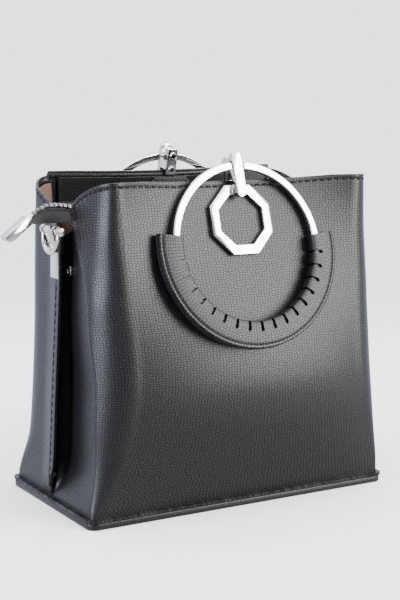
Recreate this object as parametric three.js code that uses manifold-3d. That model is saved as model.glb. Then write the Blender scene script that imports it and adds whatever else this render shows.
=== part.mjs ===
// A structured leather handbag with a zip top and two metal ring handles.
// Millimetres, +Z up. The origin is the middle of the base, on the surface the bag stands on.
// The front of the bag faces -Y, and the loose end of the zip hangs out on the -X side.
import * as THREE from 'three';
import { mergeVertices } from 'three/addons/utils/BufferGeometryUtils.js';
import Module from 'manifold-3d';

const wasm = await Module();
wasm.setup();

// Driving dimensions
const BASE_WIDTH = 233.4;
const BASE_DEPTH = 122.4;
const BASE_THICKNESS = 4.6;
const BASE_CORNER_RADIUS = 6.5;
const PANEL_HEIGHT = 220;
const LEATHER = 2;
const GAP = 0.3;

// The outer face of the leather wall at each height: half the width at the sides, half the depth in the
// middle of the front and of the back and at the corners, the radii of the upright corners, with the front
// panel's left one rounder, and how far out from mid-side the crest of the front panel's side fold runs
const BODY_SECTIONS = [
  {
    z: 5.5, halfWidth: 114.0, midDepth: 58.5, backMid: 58.5, cornerDepth: 58.5,
    frontRadius: 3, leftRadius: 3, backRadius: 3, crest: 55.5,
  },
  {
    z: 12, halfWidth: 113.9, midDepth: 59.7, backMid: 59.7, cornerDepth: 58.8,
    frontRadius: 3.5, leftRadius: 6, backRadius: 5, crest: 55.4,
  },
  {
    z: 22, halfWidth: 113.5, midDepth: 61.9, backMid: 61.9, cornerDepth: 59.2,
    frontRadius: 5, leftRadius: 13, backRadius: 12, crest: 54.6,
  },
  {
    z: 40, halfWidth: 112.4, midDepth: 66.2, backMid: 66.2, cornerDepth: 59.6,
    frontRadius: 9, leftRadius: 21, backRadius: 27, crest: 52.8,
  },
  {
    z: 65, halfWidth: 111.4, midDepth: 70.9, backMid: 70.9, cornerDepth: 60.0,
    frontRadius: 16, leftRadius: 26, backRadius: 35, crest: 51.2,
  },
  {
    z: 90, halfWidth: 110.2, midDepth: 72.4, backMid: 72.4, cornerDepth: 60.0,
    frontRadius: 21, leftRadius: 28, backRadius: 37, crest: 50,
  },
  {
    z: 120, halfWidth: 108.8, midDepth: 68.6, backMid: 68.6, cornerDepth: 59.8,
    frontRadius: 21.6, leftRadius: 25.5, backRadius: 33, crest: 44,
  },
  {
    z: 150, halfWidth: 107.5, midDepth: 60.5, backMid: 62.2, cornerDepth: 59.3,
    frontRadius: 19, leftRadius: 20, backRadius: 25.6, crest: 37,
  },
  {
    z: 180, halfWidth: 106.2, midDepth: 51.6, backMid: 55.6, cornerDepth: 58.9,
    frontRadius: 17.5, leftRadius: 17.5, backRadius: 20, crest: 21.3,
  },
  {
    z: 205, halfWidth: 104.9, midDepth: 44.2, backMid: 50.1, cornerDepth: 58.6,
    frontRadius: 14.5, leftRadius: 14.5, backRadius: 16.5, crest: 7.4,
  },
  {
    z: 220, halfWidth: 104.0, midDepth: 39.8, backMid: 46.8, cornerDepth: 58.6,
    frontRadius: 12.5, leftRadius: 12.5, backRadius: 14, crest: 7.4,
  },
];
// Heights of the wall's rows of facets, on a column that reaches the full height
const WALL_ROWS = [6.7, 10, 14.5, 22, 36, 56, 80, 105, 130, 155, 180, 200, 214, PANEL_HEIGHT];

// The top edge is a little lower in the middle. On the sides it dips to the mid-side seam, where a
// notch lets the zip's end out.
const MID_EDGE_REACH = 75;
const SIDE_EDGES = {
  front: { dip: 23.2, reach: 56, power: 1.6, notch: 11.5 },
  back: { dip: 25, reach: 58.6, power: 0.7, notch: 8.5 },
};
const NOTCH = { start: 8.5, full: 4 };

// The lower edge of each panel turns out over the base, and is sewn down on it
const WELT_REACH = 3.2;
const WELT_THICKNESS = 1.8;

// At mid-side the back panel laps over the front panel, and its free edge stands proud
const LAP_BLEND = 25;
const LAP_RISE_Z = { start: 6, full: 17 };
const LAP_REACH_Z = { start: 16, full: 30 };
const LAPS = {
  front: {
    reach: 11, rise: -1.6, tuck: 7, corners: ['leftRadius', 'frontRadius'], mid: 'midDepth', midDip: 2.5,
    edge: SIDE_EDGES.front,
  },
  back: {
    reach: 5, rise: 3.2, tuck: 0, corners: ['backRadius', 'backRadius'], mid: 'backMid', midDip: 1,
    edge: SIDE_EDGES.back,
  },
};
// Behind the crest of its fold the front panel's side is tucked in, deepest in a valley under the lap
const TUCK_Z = { start: 8, full: 32 };
const VALLEY = { foot: 3, depth: -1 };
const BUTT_GAP = 0.2;
const SHARPEST_BEND = 0.6;
// The flat shoulder between the crest and the corner takes no more of the wall's columns than this length
const SHOULDER_SHARE = 10;

// Facings inside the mouth, with their strips to the zip, and the lining that shows at both ends
const FACING_HALF_LENGTH = 84.2;
const FACING_THICKNESS = 1.5;
const FACING_TOP_DROP = 4.5;
const ZIP_LEVEL = 193.6;
const STRIP_INNER_EDGE = 7;
const LINING_THICKNESS = 0.8;
const LINING_TOP_DROP = 3;
const LINING_INSET = 2.7;
const LINING_FOOT = 155;
const LINING_ROWS = [LINING_FOOT, 180, 200, PANEL_HEIGHT];
const LINING_SIDE_COLUMNS = [
  { y: -4.5, tuck: 9 },
  { y: 4.5, tuck: 9 },
  { y: 15, tuck: 4 },
  { y: 26, tuck: 1 },
];

// The zip tape lies flat inside and folds into an upright blade where it leaves the bag.
// spread is the angle of each half from the upright, and wing is the width of each half.
const TAPE_THICKNESS = 0.9;
const ZIP_STATIONS = [
  { x: 94, ridge: ZIP_LEVEL, wing: 14, spread: 90 },
  { x: -86, ridge: ZIP_LEVEL, wing: 14, spread: 90 },
  { x: -89, ridge: 195.4, wing: 12.4, spread: 48 },
  { x: -92, ridge: 197.4, wing: 10.6, spread: 22 },
  { x: -96, ridge: 199, wing: 10, spread: 12 },
  { x: -104, ridge: 200.7, wing: 9.9, spread: 10 },
  { x: -110, ridge: 201.4, wing: 10.6, spread: 9 },
  { x: -117, ridge: 201.2, wing: 10.4, spread: 10 },
  { x: -123, ridge: 198.6, wing: 7.8, spread: 18 },
  { x: -127.5, ridge: 195.6, wing: 5.4, spread: 30 },
];
const TEETH_WIDTH = 4.6;
const TEETH_TOP_WIDTH = 3;
const TEETH_HEIGHT = 2.2;
const SLIDER = { x: 80, length: 12, width: 9, height: 4, tabLength: 24, tabThickness: 1.6 };
const CAP = {
  length: 21, height: 6, width: 8.4, droop: 37.5, edge: 0.7, tip: 4.6, fall: 3.6, clear: 0.5, lower: 0.6,
};

// Handle fittings, set out on a plane that leans with the upper panel
const PANEL_TOPS = {
  front: { y: -40.5, z: PANEL_HEIGHT - LAPS.front.midDip, lean: 16.5 },
  back: { y: -47, z: PANEL_HEIGHT - LAPS.back.midDip, lean: 12.4 },
};
const OCTAGON = { acrossFlats: 46.5, barWidth: 6.5, standOff: 0.9, thickness: 3, below: 26.9 };
const PATCH = {
  topWidth: 25, fullWidth: 46, slope: 10.5, height: 15.5, topBelow: 4, thickness: 1.4, standOff: 4.3,
};
// The link's side view: a long outer leaf, a short inner leaf, a slot for the panel's edge between
// them, and a groove in the top that parts the front bar from the lower rear bar
const LINK = {
  width: 8, top: 18, rearTop: 16.4, foot: 12.4, innerFoot: 2.5, front: 8.4, back: -4.6,
  slotFront: 4.2, slotBack: -2.4, slotTop: 0.9, grooveFront: 4.2, grooveBack: 0.4, grooveFoot: 12.6,
};
const LINK_SCREW = {
  radius: 2.4, height: 1, slotWidth: 0.7, slotLength: 3.4, slotDepth: 0.5, ups: [11.5, 1.5],
};
const PIVOT = { up: 8.5, out: 6.3, pinRadius: 1.3, clearance: 0.35 };

// Ring handle: a flat bar with a sewn leather grip folded round its lower half
const RING = { outer: 56.6, inner: 51.6, thickness: 4, chamfer: 0.7, halfGap: 5.2, steps: 36 };
const GRIP_STEPS = 24;
const GRIP_ENDS = { left: 10, right: 5.5 };
const GRIP_SECTION = [
  { r: 49.6, half: 2.2 },
  { r: 50.8, half: 3.9 },
  { r: 57.4, half: 3.9 },
  { r: 63.6, half: 2.3 },
  { r: 67.9, half: 1.9 },
];
const SLIT = {
  count: 17, first: 7.5, inner: 47.6, shoulder: 55.4, tip: 56.6, innerHalf: 0.5, outerHalf: 1.1,
};

// Strap fittings on the sides: a folded metal tab, a horseshoe shackle and its ball-ended screw pin
const TAB = {
  width: 11.4, offsetY: -0.7, foot: 154.5, bend: 171, thickness: 1.4,
  loopRadius: 3, boreRadius: 1.85, tuck: 0.2,
};
const SHACKLE_PIN = {
  x: 114, y: -1.3, z: 186.2, radius: 1.5, ballRadius: 2.9, nutRadius: 2.3, nutLength: 1.6,
};
const SHACKLE = {
  armSpacing: 22.2, barWidth: 3.2, barThickness: 2.6, straight: 3.6, eyeRadius: 3, steps: 10, rest: 4,
};
const STUD = { y: -5, z: 159, radius: 3.5, height: 2, clear: 1.25 };

const leatherBlack = { color: 0x2b2b30, roughness: 0.5, metalness: 0 };
const leatherGrip = { color: 0x3a3a40, roughness: 0.45, metalness: 0 };
const liningBrown = { color: 0x78594a, roughness: 0.9, metalness: 0 };
const tapeBlack = { color: 0x1c1b20, roughness: 0.8, metalness: 0 };
const polishedNickel = { color: 0xd9d6d2, roughness: 0.15, metalness: 1 };
const darkMetal = { color: 0x37373c, roughness: 0.3, metalness: 1 };

const radians = THREE.MathUtils.degToRad;
const smoothstep = THREE.MathUtils.smoothstep;

// A closed mesh with shared corners, turned so that its faces point out
function closedGeometry(points, triangles) {
  const volume = triangles.reduce((sum, [a, b, c]) => {
    const normal = new THREE.Vector3().crossVectors(points[b], points[c]);
    return sum + points[a].dot(normal);
  }, 0);
  const turned = volume < 0 ? triangles.map(([a, b, c]) => [a, c, b]) : triangles;
  const geometry = new THREE.BufferGeometry();
  geometry.setAttribute('position', new THREE.Float32BufferAttribute(points.flatMap((p) => p.toArray()), 3));
  geometry.setIndex(turned.flat());
  return geometry;
}

// A wall between two matching grids of points, closed round its rim
function wallBetween(outer, inner) {
  const rows = outer.length;
  const columns = outer[0].length;
  const points = [...outer.flat(), ...inner.flat()];
  const out = (row, column) => row * columns + column;
  const back = (row, column) => rows * columns + out(row, column);
  const triangles = [];
  const quad = (a, b, c, d) => triangles.push([a, b, c], [a, c, d]);
  for (let row = 0; row < rows - 1; row++) {
    for (let column = 0; column < columns - 1; column++) {
      quad(out(row, column), out(row, column + 1), out(row + 1, column + 1), out(row + 1, column));
      quad(back(row, column), back(row + 1, column), back(row + 1, column + 1), back(row, column + 1));
    }
  }
  const top = rows - 1;
  const end = columns - 1;
  for (let column = 0; column < end; column++) {
    quad(out(0, column), back(0, column), back(0, column + 1), out(0, column + 1));
    quad(out(top, column), out(top, column + 1), back(top, column + 1), back(top, column));
  }
  for (let row = 0; row < top; row++) {
    quad(out(row, 0), out(row + 1, 0), back(row + 1, 0), back(row, 0));
    quad(out(row, end), back(row, end), back(row + 1, end), out(row + 1, end));
  }
  return closedGeometry(points, triangles);
}

// A section, with or without a hole along it, carried through a number of places
function sweptSolid(section, hole, steps, place) {
  const loops = hole ? [section, hole] : [section];
  const flat = loops.flat();
  const points = [];
  for (let step = 0; step <= steps; step++) {
    points.push(...flat.map((corner) => place(corner, step / steps)));
  }
  const triangles = [];
  let start = 0;
  for (const loop of loops) {
    const sign = start === 0 ? 1 : -1;
    const winding = sign * (THREE.ShapeUtils.isClockWise(loop) ? -1 : 1);
    for (let step = 0; step < steps; step++) {
      for (let corner = 0; corner < loop.length; corner++) {
        const a = step * flat.length + start + corner;
        const b = step * flat.length + start + (corner + 1) % loop.length;
        const c = b + flat.length;
        const d = a + flat.length;
        triangles.push(...(winding > 0 ? [[a, b, c], [a, c, d]] : [[a, c, b], [a, d, c]]));
      }
    }
    start += loop.length;
  }
  const end = steps * flat.length;
  for (const [a, b, c] of THREE.ShapeUtils.triangulateShape(section, hole ? [hole] : [])) {
    const corners = [flat[a], flat[b], flat[c]];
    const [p, q, r] = THREE.ShapeUtils.isClockWise(corners) ? [a, c, b] : [a, b, c];
    triangles.push([p, r, q], [end + p, end + q, end + r]);
  }
  return closedGeometry(points, triangles);
}

// Solids for joining and cutting
function toSolid(geometry) {
  const bare = geometry.clone();
  bare.deleteAttribute('normal');
  bare.deleteAttribute('uv');
  const merged = mergeVertices(bare, 1e-4);
  return new wasm.Manifold(new wasm.Mesh({
    numProp: 3,
    vertProperties: new Float32Array(merged.attributes.position.array),
    triVerts: new Uint32Array(merged.index.array),
  }));
}

function toGeometry(solid) {
  const mesh = solid.getMesh();
  const geometry = new THREE.BufferGeometry();
  geometry.setAttribute('position', new THREE.BufferAttribute(new Float32Array(mesh.vertProperties), 3));
  geometry.setIndex(new THREE.BufferAttribute(new Uint32Array(mesh.triVerts), 1));
  return geometry;
}

function cut(geometry, ...tools) {
  return toGeometry(tools.reduce((solid, tool) => solid.subtract(toSolid(tool)), toSolid(geometry)));
}

function join(geometry, ...others) {
  return toGeometry(others.reduce((solid, other) => solid.add(toSolid(other)), toSolid(geometry)));
}

function common(geometry, other) {
  return toGeometry(toSolid(geometry).intersect(toSolid(other)));
}

function piece(name, geometry, finish) {
  const mesh = new THREE.Mesh(geometry, new THREE.MeshStandardMaterial(finish));
  mesh.name = name;
  return mesh;
}

// Straight extrusions drawn in the XY plane, centred on z = 0 unless a start is given
function slab(outline, thickness, start = -thickness / 2, holes = []) {
  const shape = new THREE.Shape(outline);
  shape.holes = holes.map((hole) => new THREE.Path(hole));
  const geometry = new THREE.ExtrudeGeometry(shape, { depth: thickness, bevelEnabled: false, steps: 1 });
  return geometry.translate(0, 0, start);
}

function rodAlongX(radius, length, sides = 10) {
  return new THREE.CylinderGeometry(radius, radius, length, sides).rotateZ(Math.PI / 2);
}

function rodAlongY(radius, length, sides = 10) {
  return new THREE.CylinderGeometry(radius, radius, length, sides);
}

// The body's section at any height, on a smooth curve through the table
function bodyAt(z) {
  const table = BODY_SECTIONS;
  const level = THREE.MathUtils.clamp(z, table[0].z, table.at(-1).z);
  const upper = Math.max(1, table.findIndex((section) => section.z >= level));
  const lower = upper - 1;
  const span = table[upper].z - table[lower].z;
  const t = (level - table[lower].z) / span;
  const slope = (key, at) => {
    const before = table[Math.max(0, at - 1)];
    const after = table[Math.min(table.length - 1, at + 1)];
    return (after[key] - before[key]) / (after.z - before.z);
  };
  const blend = (key) => {
    const rise = table[upper][key] - table[lower][key];
    const startSlope = slope(key, lower) * span;
    const endSlope = slope(key, upper) * span;
    const curve = 3 * t * t - 2 * t * t * t;
    const bend = t * (1 - t) * ((1 - t) * startSlope - t * endSlope);
    return table[lower][key] + rise * curve + bend;
  };
  return {
    halfWidth: blend('halfWidth'),
    midDepth: blend('midDepth'),
    backMid: blend('backMid'),
    cornerDepth: blend('cornerDepth'),
    frontRadius: blend('frontRadius'),
    leftRadius: blend('leftRadius'),
    backRadius: blend('backRadius'),
    crest: blend('crest'),
  };
}

// A column of the wall is known by the stretch it is on and how far along it is:
// lap runs from the free edge to the valley, side on to the fold's crest, corner on round to the face,
// and face from the middle out
const LAP_STEPS = [0, 0.5];
const SIDE_STEPS = [0, 0.35, 0.68];
const CORNER_STEPS = [0, 0.2, 0.4, 0.6, 0.8];
const FACE_STEPS = [1, 0.66, 0.33];
function wallColumns() {
  const half = [
    ...LAP_STEPS.map((at) => ({ stretch: 'lap', at })),
    ...SIDE_STEPS.map((at) => ({ stretch: 'side', at })),
    ...CORNER_STEPS.map((at) => ({ stretch: 'corner', at })),
    ...FACE_STEPS.map((at) => ({ stretch: 'face', at })),
  ];
  const left = half.map((column) => ({ ...column, hand: -1 }));
  const right = half.map((column) => ({ ...column, hand: 1 })).reverse();
  return [...left, { stretch: 'face', at: 0, hand: 1 }, ...right];
}

// How far the lap stands in or out near the mid-side seam, at a depth out from the seam
function lapOffset(lap, depth, z) {
  const near = 1 - (depth + lap.reach) / LAP_BLEND;
  return lap.rise * smoothstep(near, 0, 1) * smoothstep(z, LAP_RISE_Z.start, LAP_RISE_Z.full);
}

function faceDepth(section, across, lap) {
  const share = Math.min(1, across / section.halfWidth);
  return THREE.MathUtils.lerp(section[lap.mid], section.cornerDepth, share * share);
}

// A point of a panel's wall, in from its outer face by inset: x across and depth out from mid-side
function wallPlan(column, z, inset, lap) {
  const section = bodyAt(z);
  const leftHand = column.hand < 0;
  const bend = section[lap.corners[leftHand ? 0 : 1]];
  const halfFace = section.halfWidth - bend;
  if (column.stretch === 'face') {
    const across = halfFace * column.at;
    return { across, depth: faceDepth(section, across, lap) - inset };
  }
  const turn = faceDepth(section, halfFace, lap) - bend;
  const radius = Math.max(SHARPEST_BEND, bend - inset);
  const crest = lap.tuck ? section.crest : turn;
  const shoulder = Math.max(0, turn - crest);
  const firstAngle = Math.asin(Math.max(0, crest - turn) / bend);
  const arc = bend * (Math.PI / 2 - firstAngle);
  const flat = Math.min(shoulder, SHOULDER_SHARE);
  const roundCorner = (at) => {
    if (leftHand && shoulder > 0) {
      const angle = at * Math.PI / 2;
      return {
        across: halfFace + radius * Math.cos(angle),
        depth: crest + (turn + radius - crest) * Math.sin(angle),
      };
    }
    const run = at * (flat + arc);
    if (run < flat) {
      return { across: halfFace + radius, depth: crest + shoulder * run / flat };
    }
    const angle = firstAngle + (run - flat) / bend;
    return { across: halfFace + radius * Math.cos(angle), depth: turn + radius * Math.sin(angle) };
  };
  const plan = roundCorner(column.stretch === 'corner' ? column.at : 0);
  if (column.stretch !== 'corner') {
    const lapped = smoothstep(z, LAP_REACH_Z.start, LAP_REACH_Z.full);
    const freeEdge = THREE.MathUtils.lerp(BUTT_GAP, -lap.reach, lapped);
    const valley = THREE.MathUtils.lerp(VALLEY.foot, VALLEY.depth, lapped);
    const onLap = column.stretch === 'lap';
    const tucked = onLap ? smoothstep(column.at, 0, 1) : 1 - column.at;
    plan.across -= lap.tuck * smoothstep(z, TUCK_Z.start, TUCK_Z.full) * tucked;
    plan.depth = onLap
      ? THREE.MathUtils.lerp(freeEdge, valley, column.at)
      : THREE.MathUtils.lerp(valley, plan.depth, column.at);
  }
  return { across: plan.across + lapOffset(lap, plan.depth, z), depth: plan.depth };
}

// Height of the top edge over a point of the plan, with the depth left out along the face
function topEdge(lap, across, depth = null) {
  const middle = lap.midDip * Math.max(0, 1 - (across / MID_EDGE_REACH) ** 2);
  if (depth === null) {
    return PANEL_HEIGHT - middle;
  }
  const { edge } = lap;
  const side = edge.dip * Math.max(0, 1 - depth / edge.reach) ** edge.power;
  const notch = edge.notch * smoothstep(NOTCH.start - depth, 0, NOTCH.start - NOTCH.full);
  return PANEL_HEIGHT - middle - side - notch;
}

function columnTop(column, lap) {
  const plan = wallPlan(column, PANEL_HEIGHT, 0, lap);
  return topEdge(lap, plan.across, column.stretch === 'face' ? null : plan.depth);
}

function wallPoint(column, z, inset, lap) {
  const plan = wallPlan(column, z, inset, lap);
  return new THREE.Vector3(column.hand * plan.across, -plan.depth, z);
}

// The wall's rows on a column, squeezed under its top edge
function rowHeight(row, column, lap) {
  const foot = WALL_ROWS[0];
  return foot + (row - foot) * (columnTop(column, lap) - foot) / (PANEL_HEIGHT - foot);
}

// A panel: the front or back of the bag with half of each side, its lower edge turned out as a welt
function panelGeometry(lap) {
  const columns = wallColumns();
  const weltTop = WALL_ROWS[0];
  const weltFoot = weltTop - WELT_THICKNESS;
  const grid = (inset, foot) => WALL_ROWS.map((row, index) => columns.map((column) => (
    wallPoint(column, index === 0 ? foot : rowHeight(row, column, lap), inset, lap))));
  const edge = (z) => columns.map((column) => wallPoint(column, z, -WELT_REACH, lap));
  return wallBetween(
    [edge(weltTop), ...grid(0, weltTop)],
    [edge(weltFoot), ...grid(LEATHER, weltFoot)],
  );
}

function makeBody() {
  const group = new THREE.Group();
  const front = piece('front_panel', panelGeometry(LAPS.front), leatherBlack);
  const back = piece('back_panel', panelGeometry(LAPS.back), leatherBlack);
  back.rotation.z = Math.PI;
  group.add(front, back, piece('base_panel', baseGeometry(), leatherBlack));
  return group;
}

// The base: a stiff flat board covered in leather, as large as the welts on it
function baseGeometry() {
  const x = BASE_WIDTH / 2 - BASE_CORNER_RADIUS;
  const y = BASE_DEPTH / 2 - BASE_CORNER_RADIUS;
  const outline = new THREE.Shape();
  outline.absarc(x, y, BASE_CORNER_RADIUS, 0, Math.PI / 2);
  outline.absarc(-x, y, BASE_CORNER_RADIUS, Math.PI / 2, Math.PI);
  outline.absarc(-x, -y, BASE_CORNER_RADIUS, Math.PI, 1.5 * Math.PI);
  outline.absarc(x, -y, BASE_CORNER_RADIUS, 1.5 * Math.PI, 2 * Math.PI);
  return new THREE.ExtrudeGeometry(outline, {
    depth: BASE_THICKNESS, bevelEnabled: false, curveSegments: 5, steps: 1,
  });
}

// Lining: a thin wall round each end of the mouth, inside both panels
function liningGeometry() {
  const corner = [...CORNER_STEPS.map((at) => ({ stretch: 'corner', at })), { stretch: 'face', at: 1 }];
  const frontHalf = corner.slice(1).reverse().map((column) => ({ ...column, lap: LAPS.front, hand: -1 }));
  const middle = LINING_SIDE_COLUMNS.map((column) => ({
    ...column, stretch: 'side', lap: column.y < 0 ? LAPS.front : LAPS.back }));
  const backHalf = corner.map((column) => ({ ...column, lap: LAPS.back, hand: 1 }));
  const columns = [...frontHalf, ...middle, ...backHalf];
  const place = (column, row, inset) => {
    const at = (z) => {
      if (column.stretch === 'side') {
        const across = bodyAt(z).halfWidth - inset - column.tuck;
        return { across, depth: Math.abs(column.y), y: column.y };
      }
      const plan = wallPlan(column, z, inset, { ...column.lap, rise: 0 });
      return { ...plan, y: column.hand * plan.depth };
    };
    const plan = at(PANEL_HEIGHT);
    const top = topEdge(column.lap, plan.across, plan.depth) - LINING_TOP_DROP;
    const share = (row - LINING_FOOT) / (PANEL_HEIGHT - LINING_FOOT);
    const z = THREE.MathUtils.lerp(LINING_FOOT, top, share);
    const spot = at(z);
    return new THREE.Vector3(-spot.across, spot.y, z);
  };
  const inset = LINING_INSET;
  const grid = (depth) => LINING_ROWS.map((row) => columns.map((column) => place(column, row, depth)));
  return wallBetween(grid(inset), grid(inset + LINING_THICKNESS));
}

function makeLining() {
  return [
    piece('lining_left', liningGeometry(), liningBrown),
    piece('lining_right', mirrored(liningGeometry()), liningBrown),
  ];
}

// A facing hangs inside the mouth along its panel and turns in to the zip as a flat strip
const FACING_COLUMNS = [-1, -0.75, -0.5, -0.25, 0, 0.25, 0.5, 0.75, 1];
function facingGeometry(lap) {
  const stripTop = ZIP_LEVEL + GAP + FACING_THICKNESS;
  const stripFoot = ZIP_LEVEL + GAP;
  const wallDepth = (x, z) => faceDepth(bodyAt(z), Math.abs(x), lap);
  const outerInset = LEATHER + 2 * GAP;
  const innerInset = outerInset + FACING_THICKNESS;
  const rows = (inset, strip) => FACING_COLUMNS.map((share) => {
    const x = share * FACING_HALF_LENGTH;
    const top = topEdge(lap, Math.abs(x)) - FACING_TOP_DROP;
    const level = THREE.MathUtils.lerp(strip, top, 0.45);
    return [
      new THREE.Vector3(x, -STRIP_INNER_EDGE, strip),
      new THREE.Vector3(x, inset - wallDepth(x, strip), strip),
      new THREE.Vector3(x, inset - wallDepth(x, level), level),
      new THREE.Vector3(x, inset - wallDepth(x, top), top),
    ];
  });
  return wallBetween(rows(outerInset, stripFoot), rows(innerInset, stripTop));
}

function makeFacings() {
  const front = piece('zip_facing_front', facingGeometry(LAPS.front), leatherBlack);
  const back = piece('zip_facing_back', facingGeometry(LAPS.back), leatherBlack);
  back.rotation.z = Math.PI;
  return [front, back];
}

// Zip: the tape, the row of teeth on its ridge, the slider and the metal cap on the loose end
function tapeGeometry() {
  const row = (station, thickness) => {
    const angle = radians(station.spread);
    const across = station.wing * Math.sin(angle);
    const drop = station.wing * Math.cos(angle);
    const under = thickness / Math.sin(Math.max(angle, radians(30)));
    const inward = thickness * Math.cos(angle);
    const tip = station.ridge - drop - thickness * Math.sin(angle);
    return [
      new THREE.Vector3(station.x, inward - across, tip),
      new THREE.Vector3(station.x, 0, station.ridge - under),
      new THREE.Vector3(station.x, across - inward, tip),
    ];
  };
  return wallBetween(
    ZIP_STATIONS.map((station) => row(station, 0)),
    ZIP_STATIONS.map((station) => row(station, TAPE_THICKNESS)),
  );
}

function teethGeometry() {
  const row = (station, half, rise) => [-half, half].map((y) => (
    new THREE.Vector3(station.x, y, station.ridge + GAP + rise)));
  return wallBetween(
    ZIP_STATIONS.map((station) => row(station, TEETH_TOP_WIDTH / 2, TEETH_HEIGHT)),
    ZIP_STATIONS.map((station) => row(station, TEETH_WIDTH / 2, 0)),
  );
}

function sliderGeometry() {
  const top = SLIDER.height;
  const half = SLIDER.length / 2;
  const profile = [
    new THREE.Vector2(half, 0),
    new THREE.Vector2(half, 0.6 * top),
    new THREE.Vector2(0.4 * half, top),
    new THREE.Vector2(-half - SLIDER.tabLength, top),
    new THREE.Vector2(-half - SLIDER.tabLength, top - SLIDER.tabThickness),
    new THREE.Vector2(-half, top - SLIDER.tabThickness),
    new THREE.Vector2(-half, 0),
  ];
  const geometry = slab(profile, SLIDER.width).rotateX(Math.PI / 2);
  return geometry.translate(SLIDER.x, 0, ZIP_LEVEL + TEETH_HEIGHT + 2 * GAP);
}

function capGeometry() {
  const y = CAP.height / 2;
  const profile = [
    new THREE.Vector2(0, -y),
    new THREE.Vector2(CAP.length - 2 * CAP.edge, -y),
    new THREE.Vector2(CAP.length, CAP.edge - y),
    ...[0, 30, 60, 90].map((angle) => new THREE.Vector2(
      CAP.length - CAP.tip * (1 - Math.cos(radians(angle))),
      y - CAP.fall * (1 - Math.sin(radians(angle))),
    )),
    new THREE.Vector2(0, y),
  ];
  return slab(profile, CAP.width);
}

function makeZip() {
  const end = ZIP_STATIONS.at(-1);
  const droop = radians(CAP.droop);
  const cap = piece('zip_end_cap', capGeometry(), polishedNickel);
  cap.rotation.set(Math.PI / 2, Math.PI - droop, 0, 'YXZ');
  const middle = end.ridge + (TEETH_HEIGHT - end.wing * Math.cos(radians(end.spread))) / 2;
  const clear = CAP.height / 2 * Math.sin(droop) + CAP.clear;
  cap.position.set(end.x - clear, 0, middle - CAP.lower);
  return [
    piece('zip_tape', tapeGeometry(), tapeBlack),
    piece('zip_teeth', teethGeometry(), darkMetal),
    piece('zip_slider', sliderGeometry(), darkMetal),
    cap,
  ];
}

// Octagon frame flat on the panel, under the handle's link
function octagonOutline(acrossFlats) {
  const circumradius = acrossFlats / 2 / Math.cos(Math.PI / 8);
  return Array.from({ length: 8 }, (_, corner) => {
    const angle = Math.PI / 8 + corner * Math.PI / 4;
    return new THREE.Vector2(circumradius * Math.cos(angle), circumradius * Math.sin(angle));
  });
}

function octagonGeometry() {
  const outer = octagonOutline(OCTAGON.acrossFlats);
  const inner = octagonOutline(OCTAGON.acrossFlats - 2 * OCTAGON.barWidth);
  return slab(outer, OCTAGON.thickness, OCTAGON.standOff, [inner]).translate(0, -OCTAGON.below, 0);
}

// Leather patch sewn on the facing behind the link, the upper part of an octagon
function patchGeometry() {
  const outline = [
    new THREE.Vector2(-PATCH.fullWidth / 2, -PATCH.height),
    new THREE.Vector2(PATCH.fullWidth / 2, -PATCH.height),
    new THREE.Vector2(PATCH.fullWidth / 2, -PATCH.slope),
    new THREE.Vector2(PATCH.topWidth / 2, 0),
    new THREE.Vector2(-PATCH.topWidth / 2, 0),
    new THREE.Vector2(-PATCH.fullWidth / 2, -PATCH.slope),
  ];
  const start = -PATCH.standOff - PATCH.thickness;
  return slab(outline, PATCH.thickness, start).translate(0, -PATCH.topBelow, 0);
}

// The link straddles the top edge: an outer leaf over the octagon, an inner leaf in the mouth
function linkGeometry() {
  const side = new THREE.Shape([
    new THREE.Vector2(LINK.back, -LINK.innerFoot),
    new THREE.Vector2(LINK.slotBack, -LINK.innerFoot),
    new THREE.Vector2(LINK.slotBack, LINK.slotTop),
    new THREE.Vector2(LINK.slotFront, LINK.slotTop),
    new THREE.Vector2(LINK.slotFront, -LINK.foot),
    new THREE.Vector2(LINK.front, -LINK.foot),
    new THREE.Vector2(LINK.front, LINK.top),
    new THREE.Vector2(LINK.grooveFront, LINK.top),
    new THREE.Vector2(LINK.grooveFront, LINK.grooveFoot),
    new THREE.Vector2(LINK.grooveBack, LINK.grooveFoot),
    new THREE.Vector2(LINK.grooveBack, LINK.rearTop),
    new THREE.Vector2(LINK.back, LINK.rearTop),
  ]);
  const profile = new THREE.ExtrudeGeometry(side, { depth: LINK.width, bevelEnabled: false, steps: 1 });
  profile.translate(0, 0, -LINK.width / 2).rotateY(-Math.PI / 2);
  const half = LINK.width / 2;
  const outline = new THREE.Shape();
  outline.absarc(0, LINK.top - half, half, 0, Math.PI);
  outline.absarc(0, half - LINK.foot, half, Math.PI, 2 * Math.PI);
  const stadium = new THREE.ExtrudeGeometry(outline, {
    depth: LINK.front - LINK.back, bevelEnabled: false, curveSegments: 8, steps: 1,
  });
  stadium.translate(0, 0, LINK.back);
  const bore = rodAlongX(PIVOT.pinRadius + PIVOT.clearance, 2 * LINK.width, 12);
  bore.translate(0, PIVOT.up, PIVOT.out);
  return cut(common(profile, stadium), bore);
}

function screwGeometry() {
  const head = new THREE.CylinderGeometry(0.8 * LINK_SCREW.radius, LINK_SCREW.radius, LINK_SCREW.height, 10);
  head.rotateX(-Math.PI / 2);
  const level = -LINK_SCREW.height / 2;
  const slot = (width, height) => {
    const box = new THREE.BoxGeometry(width, height, 2 * LINK_SCREW.slotDepth);
    return box.translate(0, 0, level);
  };
  return cut(
    head,
    slot(LINK_SCREW.slotLength, LINK_SCREW.slotWidth),
    slot(LINK_SCREW.slotWidth, LINK_SCREW.slotLength),
  );
}

// The ring hangs from its pin. Its own origin is the pin's middle, and it lies in the XY plane.
const RING_CENTRE = -(RING.outer + RING.inner) / 2;
function onRing(radius, angle, height) {
  const x = radius * Math.cos(angle);
  return new THREE.Vector3(x, RING_CENTRE + radius * Math.sin(angle), height);
}

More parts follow.
